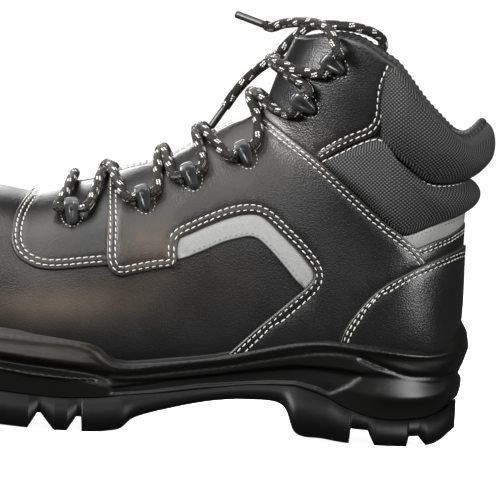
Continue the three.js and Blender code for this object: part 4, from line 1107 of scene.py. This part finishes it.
def build_rolls():
    """Both rolls, and the stitches between them and along the ankle panels."""
    seam = (ANKLE_CORNER,) + ROLL_SEAM
    build_roll("collar_roll_lower_mesh", "collar_roll_lower", ROLL_FOOT, seam, LOWER_ROLL, 14)
    build_roll("collar_roll_upper_mesh", "collar_roll_upper", ROLL_SEAM, COLLAR_LINE[6:], UPPER_ROLL, 16)
    seams_white.append((shifted(behind(trace(seam)), -0.6), GAP + 2.4))


def tube(name, path, radius, finish, sides=16):
    """A closed tube: rings round a path in frames that turn as little as they can, with round ends drawn in
    to a point. Its uv is the length along and the angle round."""
    tangent = unit(np.gradient(path, axis=0))
    side = np.zeros_like(path)
    side[0] = unit(np.cross(tangent[0], (0.3, 0.2, 1.0)))
    for i in range(1, len(path)):
        side[i] = unit(side[i - 1] - tangent[i] * (side[i - 1] @ tangent[i]))
    up = np.cross(tangent, side)
    turn = np.arange(sides) / sides * 2 * np.pi
    radius = np.broadcast_to(np.asarray(radius, float), (len(path),))
    ring = side[:, None] * np.cos(turn)[None, :, None] + up[:, None] * np.sin(turn)[None, :, None]
    points = path[:, None] + ring * radius[:, None, None]
    length = np.concatenate([[0], np.cumsum(np.linalg.norm(np.diff(path, axis=0), axis=1))])
    ends = []
    for end, before, rim in ((path[0], path[1], points[0]), (path[-1], path[-2], points[-1])):
        tip = np.broadcast_to(end + (end - before) * 0.3, rim.shape)
        ends.append([tip, end + (rim - end) * 0.55 + (end - before) * 0.25])
    points = np.concatenate([ends[0], points, ends[1][::-1]])
    length = np.concatenate([length[:1], length[:1], length, length[-1:], length[-1:]])
    uv = np.stack(np.broadcast_arrays(length[:, None], turn[None]), -1).reshape(-1, 2)
    return add_mesh(name, points.reshape(-1, 3), grid_faces(len(points), sides, close_columns=True),
                    finish, uv=uv)


def build_binding():
    """Braided binding over the collar edge, from throat to throat round the heel."""
    line = trace(COLLAR_LINE)
    outer, inner = (clear_of_throat(line, side) for side in (1, -1))
    row = np.vstack([outer, (inner * (1, -1) + (0, 2 * np.pi))[::-1][1:]])
    path = resample(on_last(row[:, 0], row[:, 1], np.full(len(row), -WALL / 2)) - (0, 0, 1.2), BINDING_STEP)
    length = np.arange(len(path)) * BINDING_STEP
    braid = BINDING_RADIUS + 0.26 * np.sin(length * 2 * np.pi / 2.8)
    tube("collar_binding", path, braid, BINDING, sides=14)


build_upper()
build_front()
build_sides()
build_heel()
build_side_tapes()
build_tongue()
build_rolls()
build_binding()


# Sole

def sole_heights(name, share):
    """A height along the sole in millimetres, at shares of its length."""
    return BOOT_HEIGHT * np.maximum(0, smooth(HEIGHTS[name], place_of(HEIGHTS["x"], share)))


def plan_edge(count):
    """The sole's outline seen from above, from the heel along the outer side and back: points, shares of
    the length and inward ways."""
    k = np.linspace(0, len(PLAN_ROWS) - 1, count)
    px = LENGTH * smooth(PLAN["x"], k)
    outer = np.stack([px, BALL_WIDTH * smooth(PLAN["outer"], k)], 1)
    inner = np.stack([px, -BALL_WIDTH * smooth(PLAN["inner"], k)], 1)
    loop = np.vstack([outer, inner[1:-1][::-1]])
    loop = resample(np.vstack([loop, loop[:1]]), count=2 * count)[:-1]
    tangent = unit(np.roll(loop, -1, 0) - np.roll(loop, 1, 0))
    inward = np.stack([tangent[:, 1], -tangent[:, 0]], 1)
    return loop, np.clip(loop[:, 0] / LENGTH, 0, 1), inward


# Forms of the sole's side wall in the side view, as shares
LIP_BEAD = (
    (0.6927, 0.2231), (0.6712, 0.2226), (0.6092, 0.2158), (0.5617, 0.2115), (0.5414, 0.2023),
    (0.5249, 0.1793), (0.5086, 0.1636), (0.4826, 0.1598), (0.4257, 0.1735), (0.3829, 0.1846),
    (0.3459, 0.1940), (0.3119, 0.2081), (0.2665, 0.2268), (0.2210, 0.2406), (0.1852, 0.2414),
    (0.1520, 0.2357), (0.1073, 0.2299), (0.0613, 0.2255), (0.0185, 0.2342))
LIP_GROOVE = (
    (0.5138, 0.1460), (0.4964, 0.1415), (0.4750, 0.1434), (0.4251, 0.1564), (0.3454, 0.1782),
    (0.3114, 0.1910), (0.2659, 0.2073), (0.2204, 0.2211), (0.1846, 0.2243), (0.1630, 0.2213))
BUMPER_FOOT = (
    (0.8426, 0.1951), (0.7561, 0.1832), (0.6694, 0.1652), (0.6232, 0.1559), (0.5757, 0.1503),
    (0.5367, 0.1440), (0.5135, 0.1363))
RIB = (
    (0.8420, 0.1756), (0.7555, 0.1637), (0.6688, 0.1469), (0.6226, 0.1351), (0.5751, 0.1308),
    (0.5320, 0.1310))
HEEL_GROOVE = (
    (0.1514, 0.2150), (0.1177, 0.1935), (0.0827, 0.1771), (0.0482, 0.1740), (0.0167, 0.1756),
    (-0.0119, 0.1806))
HEEL_BULGE = (
    (0.1157, 0.1277), (0.0811, 0.1234), (0.0369, 0.1322), (-0.0128, 0.1513))
WAIST_RECESS = (
    (0.5070, 0.1112), (0.4885, 0.1165), (0.4586, 0.1240), (0.4245, 0.1369), (0.3818, 0.1485),
    (0.3106, 0.1654), (0.2650, 0.1768), (0.2151, 0.1861), (0.1835, 0.1852), (0.1603, 0.1800),
    (0.1486, 0.1712), (0.1609, 0.1530), (0.1720, 0.1398), (0.1944, 0.1219), (0.2120, 0.1338),
    (0.2440, 0.1456), (0.2812, 0.1435), (0.3811, 0.1260), (0.4523, 0.1050), (0.5065, 0.0953))

# Ridges (minus) and troughs (plus) along them: line, depth and half width in millimetres
SOLE_LINES = (
    (LIP_BEAD, -0.75, 1.4), (LIP_GROOVE, 0.5, 1.0), (BUMPER_FOOT, 1.5, 1.9), (RIB, -1.2, 0.65),
    (HEEL_GROOVE, 1.3, 1.3), (HEEL_BULGE, -0.7, 4.0))
RECESS_DEPTH = 0.9
RECESS_SOFT = 1.3
HEEL_END = 0.011
HEEL_REACH = 1.1
WALL_LEVELS = 64
WALL_BLUR = (0.1, 0.22, 0.36, 0.22, 0.1)
COLLAR_RINGS = ((0.5, -0.25), (1.6, -0.1), (4.5, 1.6), (8, 6))  # further in and lower than the lip
SOLE_EDGE, SOLE_SHARE, SOLE_INWARD = plan_edge(330)


def side_gap(points, line):
    """Distance in the side view from each point to a line."""
    return nearest(points[..., [0, 2]].reshape(-1, 2), line).reshape(points.shape[:-1])


def near_line(points, line, half_width):
    """A soft bump of height one along a side-view line."""
    return np.exp(-(side_gap(points, resample(spline(side_view(line)), 1.5)) / half_width) ** 2)


def inside_form(points, outline, soft):
    """One inside a closed side-view outline and nothing outside it, with a soft border in millimetres."""
    edge = resample(side_view(outline + outline[:1]), 0.8)
    inside = is_inside(points[..., [0, 2]].reshape(-1, 2), edge[:-1]).reshape(points.shape[:-1])
    return np.clip(0.5 + side_gap(points, edge) * np.where(inside, 1, -1) / soft, 0, 1)


def wall_insets(shares, levels):
    """How far the side wall lies inside the plan, at even levels from split to lip for each plan point."""
    place = place_of(SIDES["x"], shares)
    level = {name: smooth(SIDES[name], place) for name in SIDE_COLUMNS[1:]}
    names = ("foot", "bulge", "notch", "step", "face", "shoulder", "lip")
    insets = SIDE_RELIEF * np.stack([level[name] for name in names], 1)
    ups = np.stack([np.zeros_like(shares)] + [level[name + "_up"] for name in names[1:-1]]
                   + [np.ones_like(shares)], 1)
    grid = np.array([np.interp(levels, up, inset) for up, inset in zip(ups, insets)])
    padded = np.pad(grid, ((0, 0), (2, 2)), mode="edge")
    return sum(weight * padded[:, i:i + len(levels)] for i, weight in enumerate(WALL_BLUR))


def bumper_warmth(points):
    """How brown the sole is at each point: most on the toe's bumper face."""
    low = np.interp(points[:, 0], *side_view(BUMPER_FOOT[::-1]).T)
    forward = np.clip((points[:, 0] / LENGTH - 0.5) / 0.06, 0, 1)
    return forward * np.clip((points[:, 2] - low - 0.8) / 1.5, 0, 1)


def sole_ring(inset, height):
    """Points round the sole at an inset and a height for each plan point."""
    return np.concatenate([SOLE_EDGE + SOLE_INWARD * inset[:, None], height[:, None]], 1)


def build_midsole():
    """The moulded cup: a side wall of levels between split and lip, moved in by the table's steps plus a
    bell curve across each ridge or trough and an even recess at the waist, then rings over the lip and
    underneath."""
    low = sole_heights("split", SOLE_SHARE) + GAP
    high = sole_heights("lip", SOLE_SHARE)
    levels = np.linspace(0, 1, WALL_LEVELS)
    pz = low[:, None] + (high - low)[:, None] * levels[None]
    wall = np.stack([np.broadcast_to(SOLE_EDGE[:, :1], pz.shape), np.zeros_like(pz), pz], -1)
    inset = wall_insets(SOLE_SHARE, levels) - HEEL_REACH * np.clip(1.4 - SOLE_SHARE / 0.1, 0, 1)[:, None]
    for line, depth, half_width in SOLE_LINES:
        inset = inset + depth * near_line(wall, line, half_width)
    inset = inset + RECESS_DEPTH * inside_form(wall, WAIST_RECESS, RECESS_SOFT)
    rings = [sole_ring(inset[:, i], pz[:, i]) for i in range(WALL_LEVELS)]
    rings += [sole_ring(inset[:, -1] + further, high - drop) for further, drop in COLLAR_RINGS]
    rings.append(sole_ring(inset[:, 0] + 8, low))
    points = np.stack(rings, 1)
    faces = grid_faces(*points.shape[:2], close_rows=True, close_columns=True)[:, ::-1]
    points = points.reshape(-1, 3)
    fields = {"warm": bumper_warmth(points)}
    made = add_mesh("midsole_moulding", points, faces, FOAM_SKIN, fields=fields)
    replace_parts(made, "midsole")


def build_outsole():
    """The tread: stations along the sole, each a section from edge to edge with the middle channel, raised
    to a groove's roof where one crosses and closed over the top."""
    edges = np.stack([GROOVES[name] for name in GROOVE_COLUMNS[:4]], 1)
    corners = (edges[..., None] + (-GROOVE_CORNER, 0, GROOVE_CORNER)).ravel()
    stations = np.linspace(HEEL_END, 0.996, 420)
    stations = np.unique(np.round(np.concatenate([stations, corners]), 5))
    k = place_of(PLAN["x"], stations)
    foot = SIDE_RELIEF * smooth(SIDES["foot"], place_of(SIDES["x"], stations)) + 0.1
    outer = BALL_WIDTH * smooth(PLAN["outer"], k) - foot
    inner = -BALL_WIDTH * smooth(PLAN["inner"], k) + foot
    middle = ((outer + inner) / 2)[:, None]
    half = np.maximum((outer - inner) / 2, 0.4)[:, None]
    under = sole_heights("under", stations)[:, None]
    split = np.maximum(sole_heights("split", stations)[:, None], under + 1)
    lift = np.zeros_like(stations)
    for edge, depth in zip(edges, GROOVES["depth"]):
        shape = np.interp(stations, edge, (0, 1, 1, 0), left=0, right=0)
        lift = np.maximum(lift, shape * depth * GROOVE_DEPTH)
    bottom = np.minimum(under + lift[:, None], split - 0.8)

    shares = np.concatenate([[-1, -1, -0.985], np.linspace(-0.93, 0.93, 25), [0.985, 1, 1]])
    is_top = np.zeros(len(shares), bool)
    is_top[[0, -1]] = True
    is_foot = (np.abs(shares) == 1) & ~is_top
    y = middle + np.where(is_foot, half - np.minimum(TREAD_INSET, half * 0.5), half) * shares
    z = np.where(is_top, split, bottom)
    z = np.where(is_foot, np.minimum(z + 0.35, split), z)
    y[:, 2] = y[:, 1] + 0.5
    y[:, -3] = y[:, -2] - 0.5
    swing = 0.05 * BALL_WIDTH * np.interp(stations, np.linspace(0.5, 0.93, 7), (-1, 1) * 3 + (-1,))
    off = np.abs(y - (swing - 0.02 * BALL_WIDTH)[:, None])
    in_channel = ((stations > 0.03) & (stations < 0.24)) | ((stations > 0.5) & (stations < 0.93))
    depth = np.where(in_channel, CHANNEL_DEPTH, 0)[:, None]
    roof = under + depth * np.clip((CHANNEL_WIDTH / 2 + 0.8 - off) / 1.6, 0, 1)
    z = np.minimum(np.where(is_top, z, np.maximum(z, roof)), split)
    points = np.stack([np.broadcast_to((stations * LENGTH)[:, None], y.shape), y, z], -1)
    ends = [np.broadcast_to(points[i].mean(0), (1, *points[i].shape)) for i in (0, -1)]
    points = np.concatenate([ends[0], points, ends[1]])
    faces = grid_faces(*points.shape[:2], close_columns=True)[:, ::-1]
    made = add_mesh("outsole_tread", points.reshape(-1, 3), faces, RUBBER)
    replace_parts(made, "outsole")


build_midsole()
build_outsole()
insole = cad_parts["insole"].data
insole.materials.clear()
insole.materials.append(FOOTBED)


# Loops and laces

TUNNEL_RADIUS = LACE / 2 + TUNNEL_CLEARANCE
TUNNEL_AT = TUNNEL_RADIUS + LOOP_END_WALL
TUNNEL_UP = TUNNEL_RADIUS + LOOP_BASE_WALL


def loop_frame(wide, tip, side):
    """Seat of a loop: its origin at the middle of the wide end, the way to its tip, along its tunnel and
    out."""
    def seat(point):
        u, angle, _ = place_at(point[0] * LENGTH, point[1] * BOOT_HEIGHT)
        return u, side * angle, on_last(u, side * angle, GAP + OVERLAY + LOOP_SEAT)
    u, angle, middle = seat((np.array(wide) + np.array(tip)) / 2)
    out = last_normal(u, angle)
    down = seat(tip)[2] - seat(wide)[2]
    down = unit(down - out * (down @ out))
    across = unit(np.cross(out, down))
    return {"origin": middle - down * LOOP_LENGTH / 2, "down": down, "across": across, "out": out}


LOOP_FRAMES = {
    name: [loop_frame(wide, tip, side) for wide, tip in LOOPS] for name, side in SIDE_NAMES.items()}


def loop_half_width(along):
    """Half width of a loop seen from outside: a round head, then a long taper to a blunt tip."""
    head = np.clip(1 - along / (0.36 * LOOP_LENGTH), 0, 1)
    tail = np.clip((along - 0.36 * LOOP_LENGTH) / (0.64 * LOOP_LENGTH), 0, 1)
    taper = 1 - (1 - LOOP_TIP_WIDTH / LOOP_WIDTH) * tail ** 1.5
    return LOOP_WIDTH / 2 * (1 - head ** 2.6) ** 0.42 * taper


def loop_point(place, along, across, up):
    """Points of a loop from lengths down to its tip, along its tunnel and outwards."""
    return (place["origin"] + along[..., None] * place["down"] + up[..., None] * place["out"]
            + across[..., None] * place["across"])


def build_loop(name, place):
    """A moulded lace loop: rings from its tunnel out to a wedge profile and back, along the tunnel's
    length. Its head is round, and a groove parts its back into two ribs down to the tip."""
    turns, rings = 56, 30
    profile = np.array([
        (0, 0), (LOOP_LENGTH, 0), (LOOP_LENGTH, LOOP_TIP_HEIGHT), (LOOP_LENGTH * 0.72, LOOP_HEIGHT * 0.55),
        (LOOP_LENGTH * 0.42, LOOP_HEIGHT * 0.92), (LOOP_LENGTH * 0.15, LOOP_HEIGHT * 0.98),
        (0, LOOP_HEIGHT * 0.72)])
    edge = softened(resample(np.vstack([profile, profile[:1]]), 0.25), 14) - (TUNNEL_AT, TUNNEL_UP)
    polar = np.arctan2(edge[:, 1], edge[:, 0])
    reach = np.hypot(edge[:, 1], edge[:, 0])
    order = np.argsort(polar)
    turn = np.linspace(-np.pi, np.pi, turns, endpoint=False)
    far = np.interp(turn, polar[order], reach[order], period=2 * np.pi)[:, None]
    v = np.linspace(0, 2 * np.pi, rings, endpoint=False)[None]
    near = TUNNEL_RADIUS - 0.2
    radius = (near + far) / 2 - (far - near) / 2 * np.sign(np.cos(v)) * np.abs(np.cos(v)) ** 0.6
    along = TUNNEL_AT + radius * np.cos(turn)[:, None]
    up = TUNNEL_UP + radius * np.sin(turn)[:, None]
    across = loop_half_width(along) * np.sign(np.sin(v)) * np.abs(np.sin(v)) ** 0.75
    outer = np.clip(-np.cos(v), 0, 1) * np.clip(np.sin(turn)[:, None] + 0.5, 0, 1)
    groove = np.clip((along / LOOP_LENGTH - 0.3) / 0.2, 0, 1) * np.exp(-(across / 0.62) ** 2)
    points = loop_point(place, along, across, up - 1.5 * outer * groove)
    faces = grid_faces(turns, rings, close_rows=True, close_columns=True)
    made = add_mesh(f"loop_{name}", points.reshape(-1, 3), faces, LOOP_PLASTIC)
    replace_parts(made, f"lace_loop_{name}")


def loop_seam(place, side, height):
    """A short seam that runs round a loop's tip, half an ellipse on the leather."""
    turn = np.radians(np.linspace(-100, 100, 60))
    along = LOOP_LENGTH * 0.52 + (LOOP_LENGTH * 0.48 + 2.0) * np.cos(turn)
    across = (LOOP_WIDTH / 2 + 1.5) * np.sin(turn)
    spots = loop_point(place, along, across, np.zeros(len(turn)))
    u, angle, _ = place_at(spots[:, 0], spots[:, 2])
    return np.stack([u, side * angle], 1), height


def mouth(place, way):
    """Straight lead of the lace out of a loop, forward or up the boot, and its place on the last."""
    middle = place["origin"] + place["down"] * TUNNEL_AT + place["out"] * TUNNEL_UP
    up_boot = place["across"] * (-way if place["across"][0] > 0 else way)
    point = middle + up_boot * (LOOP_WIDTH / 2 + LACE_LEAD)
    foot = point - place["out"] * (TUNNEL_UP + LOOP_SEAT + OVERLAY + GAP)
    u, angle, _ = place_at(foot[0], foot[2])
    return {"middle": middle, "up_boot": up_boot, "point": point, "u": float(u),
            "angle": float(np.sign(middle[1]) * angle)}


def over_ridge(start, end, crossing, lift=0.0):
    """Lace over the ridge between two mouths: it crosses at the given row, sinks between the facings there
    and is lifted over or pressed under the other strand."""
    row, dip = crossing
    t = np.array([0.22, 0.38, 0.5, 0.62, 0.78])
    bow = row - (start["u"] + end["u"]) / 2
    u = start["u"] + (end["u"] - start["u"]) * t + bow * np.sin(np.pi * t) ** 2
    angle = start["angle"] + (end["angle"] - start["angle"]) * t * t * (3 - 2 * t)
    height = np.where(t == 0.5, LACE_RIDE - dip + lift, LACE_RIDE)
    return np.vstack([start["point"], on_last(u, angle, height), end["point"]])


def lace_run(start_name, lift):
    """One run of the lace: it climbs from loop to loop and changes sides over the ridge."""
    names = ("outer", "inner") if start_name == "outer" else ("inner", "outer")
    places = [LOOP_FRAMES[names[i % 2]][i] for i in range(len(LOOPS))]
    points = [mouth(places[0], -1)["point"]]
    for i, place in enumerate(places):
        onward = mouth(place, 1)
        points.append(onward["middle"])
        if i + 1 < len(places):
            way = 1 if i % 2 else -1
            points.extend(over_ridge(onward, mouth(places[i + 1], -1), CROSSINGS[i + 1], way * lift))
        else:
            points.append(onward["middle"] + onward["up_boot"] * LOOP_WIDTH / 2)
    return resample(spline(points), 0.7)


def lace_end(name, own_points):
    """Free end of the lace from the top loop, and the straight sheath on its tip."""
    top = mouth(LOOP_FRAMES[name][-1], 1)
    start = top["middle"] + top["up_boot"] * (LOOP_WIDTH / 2 + GAP)
    shares = np.array(own_points) * (LENGTH, BALL_WIDTH, BOOT_HEIGHT)
    path = resample(spline(np.vstack([start, top["point"], shares])), 0.7)
    reach = np.linspace(GAP, GAP + AGLET_LENGTH, 12)[:, None]
    return path, path[-1] + unit(path[-1] - path[-2]) * reach


def build_laces():
    """Two runs of the lace that cross over the ridge, and the bar between the two lowest loops."""
    outer, inner = (mouth(LOOP_FRAMES[name][0], -1) for name in SIDE_NAMES)
    bar = np.vstack([outer["middle"], over_ridge(outer, inner, CROSSINGS[0]), inner["middle"]])
    paths = {"lace_run_outer": lace_run("outer", 1.9), "lace_run_inner": lace_run("inner", -1.9),
             "lace_bar": resample(spline(bar), 0.7)}
    for name, path in paths.items():
        made = tube(name, path, LACE / 2, BRAID)
        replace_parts(made, "lacing")


def build_lace_ends():
    """The free ends of the lace, each a cord with the sheath on its tip."""
    for name, own_points in (("outer", OUTER_END), ("inner", INNER_END)):
        path, sheath_path = lace_end(name, own_points)
        cord = tube(f"lace_tail_{name}", path, LACE / 2, BRAID)
        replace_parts(cord, f"lace_end_{name}")
        sheath = tube(f"lace_tip_{name}", sheath_path, AGLET / 2, SHEATH)
        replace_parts(sheath, f"aglet_{name}")


for side_name in SIDE_NAMES:
    for index, loop_place in enumerate(LOOP_FRAMES[side_name]):
        build_loop(f"{side_name}_{index + 1}", loop_place)
build_laces()
build_lace_ends()


# Stitches

STITCH_SINK = 0.12
STITCH_SLANT = 0.12
STITCH_STATIONS = np.array([-0.5, -0.44, -0.28, 0, 0.28, 0.44, 0.5])
STITCH_SIZES = np.array([0.15, 0.75, 1.0, 1.08, 1.0, 0.75, 0.15])
STITCH_DIPS = np.array([0.35, 0.224, 0.042, 0, 0.042, 0.224, 0.35])
LOOP_GROUND = (FRONT_LEATHER,) + (QUARTER_LEATHER,) * 3 + (ANKLE_LEATHER,) * 2


def stitch_places(seam, height, pitch):
    """Middle, run and outward way of each stitch along a seam."""
    points = on_last(seam[:, 0], seam[:, 1], np.full(len(seam), height - STITCH_SINK))
    distance = np.concatenate([[0], np.cumsum(np.linalg.norm(np.diff(points, axis=0), axis=1))])
    spots = np.arange(pitch * 0.6, distance[-1] - pitch * 0.4, pitch)

    def at(spot, columns):
        return np.stack([np.interp(spot, distance, column) for column in columns.T], 1)

    way = unit(at(spots + 0.6, points) - at(spots - 0.6, points))
    return at(spots, points), way, last_normal(*at(spots, seam).T)


def build_stitches(name, seams, finish, length=2.3, pitch=2.95, radius=0.27):
    """Stitches along seams as one mesh: each is a short thread, bent into the leather at both ends."""
    places = [stitch_places(seam, height, pitch) for seam, height in seams]
    centre, way, up = (np.vstack(parts)[:, None, None] for parts in zip(*places))
    way = unit(way + np.cross(up, way) * STITCH_SLANT)
    side = np.cross(up, way)
    turn = np.arange(6) / 6 * 2 * np.pi
    sizes = STITCH_SIZES[:, None] * radius
    local_side = (sizes * np.cos(turn))[..., None]
    local_up = (sizes * np.sin(turn) - STITCH_DIPS[:, None])[..., None]
    points = centre + way * (STITCH_STATIONS * length)[:, None, None] + side * local_side + up * local_up
    count = points.shape[1] * points.shape[2]
    caps = np.array([[3, 2, 1, 0], [5, 4, 3, 0]])
    one = np.vstack([grid_faces(*points.shape[1:3], close_columns=True), caps, caps[:, ::-1] + count - 6])
    faces = (one[None] + (np.arange(len(points)) * count)[:, None, None]).reshape(-1, 4)
    add_mesh(name, points.reshape(-1, 3), faces, finish)


seams_loops = [
    loop_seam(place, SIDE_NAMES[side], GAP + ground)
    for side, places in LOOP_FRAMES.items() for place, ground in zip(places, LOOP_GROUND)]
build_stitches("stitches_white", seams_white, THREAD_WHITE)
build_stitches("stitches_loops", seams_loops, THREAD_WHITE, length=1.3, pitch=1.85, radius=0.26)
build_stitches("stitches_grey", seams_grey, THREAD_GREY, length=1.6, pitch=2.4, radius=0.22)


# Room and camera

VIEW_MIDDLE = (95.98, 30, 81.22)
VIEW_SPAN = 215.74
VIEW_DISTANCE = 6000
VIEW_TILT = math.radians(3)
VIEW_ROLL = 0.0553
SENSOR = 36
FLOOR_REACH = 12


def build_camera():
    """The photo's view: the outer side, from a little above, rolled so that the heel hangs lower."""
    data = bpy.data.cameras.new("camera")
    data.sensor_width = SENSOR
    data.lens = SENSOR * VIEW_DISTANCE / VIEW_SPAN
    camera = bpy.data.objects.new("camera", data)
    bpy.context.scene.collection.objects.link(camera)
    back = np.array([0, math.cos(VIEW_TILT), math.sin(VIEW_TILT)])
    right = np.array([-1.0, 0, 0])
    up = np.cross(back, right)
    turned_right = right * math.cos(VIEW_ROLL) + up * math.sin(VIEW_ROLL)
    matrix = np.eye(4)
    matrix[:3, 0] = turned_right
    matrix[:3, 1] = np.cross(back, turned_right)
    matrix[:3, 2] = back
    matrix[:3, 3] = to_frame(VIEW_MIDDLE) + back * VIEW_DISTANCE * 0.001
    camera.matrix_world = Matrix(matrix.tolist())
    bpy.context.scene.camera = camera


def build_floor():
    """A wide white floor that the boot doesn't mirror."""
    finish, _ = material("floor", (0.9, 0.9, 0.9), 0.9)
    mesh = bpy.data.meshes.new("floor")
    corners = [(x * FLOOR_REACH, y * FLOOR_REACH, 0) for x, y in ((-1, -1), (1, -1), (1, 1), (-1, 1))]
    mesh.from_pydata(corners, [], [(0, 1, 2, 3)])
    mesh.materials.append(finish)
    floor = bpy.data.objects.new("floor", mesh)
    bpy.context.scene.collection.objects.link(floor)
    floor.visible_glossy = False
    floor.visible_diffuse = False
    return floor


def area_light(name, spot, aim, size, power):
    """A soft box at a spot, turned to its aim."""
    data = bpy.data.lights.new(name, "AREA")
    data.shape = "RECTANGLE"
    data.size, data.size_y = size
    data.energy = power
    lamp = bpy.data.objects.new(name, data)
    bpy.context.scene.collection.objects.link(lamp)
    lamp.location = spot
    lamp.rotation_euler = (Vector(aim) - Vector(spot)).to_track_quat("-Z", "Y").to_euler()


def build_lights(floor):
    """A low even light all round, a soft box above the camera on the toe's side, weaker ones overhead, in
    front, at the heel and behind, and a sun that lights only the floor."""
    world = bpy.data.worlds.new("world")
    bpy.context.scene.world = world
    world.use_nodes = True
    background = world.node_tree.nodes["Background"]
    background.inputs["Color"].default_value = (1, 1, 1, 1)
    background.inputs["Strength"].default_value = 0.05
    area_light("key", (0.85, 0.7, 0.75), (0, 0, 0.08), (0.65, 0.65), 40)
    area_light("top", (0.15, 0.25, 1.2), (0, 0, 0.1), (0.9, 0.6), 9)
    area_light("fill", (-1.0, 0.66, 0.45), (-0.1, 0, 0.1), (0.5, 0.7), 17)
    area_light("face", (-0.05, 1.15, 0.85), (0, 0, 0.08), (0.6, 0.5), 4.5)
    area_light("back", (0.3, -1.0, 0.6), (0, 0, 0.08), (0.6, 0.5), 8)
    wash = bpy.data.lights.new("wash", "SUN")
    wash.energy = 3.6
    wash.angle = 0.6
    wash.use_shadow = False
    lamp = bpy.data.objects.new("wash", wash)
    bpy.context.scene.collection.objects.link(lamp)
    only = bpy.data.collections.new("floor_only")
    only.objects.link(floor)
    lamp.light_linking.receiver_collection = only


build_camera()
build_lights(build_floor())
bpy.context.scene.view_settings.view_transform = "Standard"
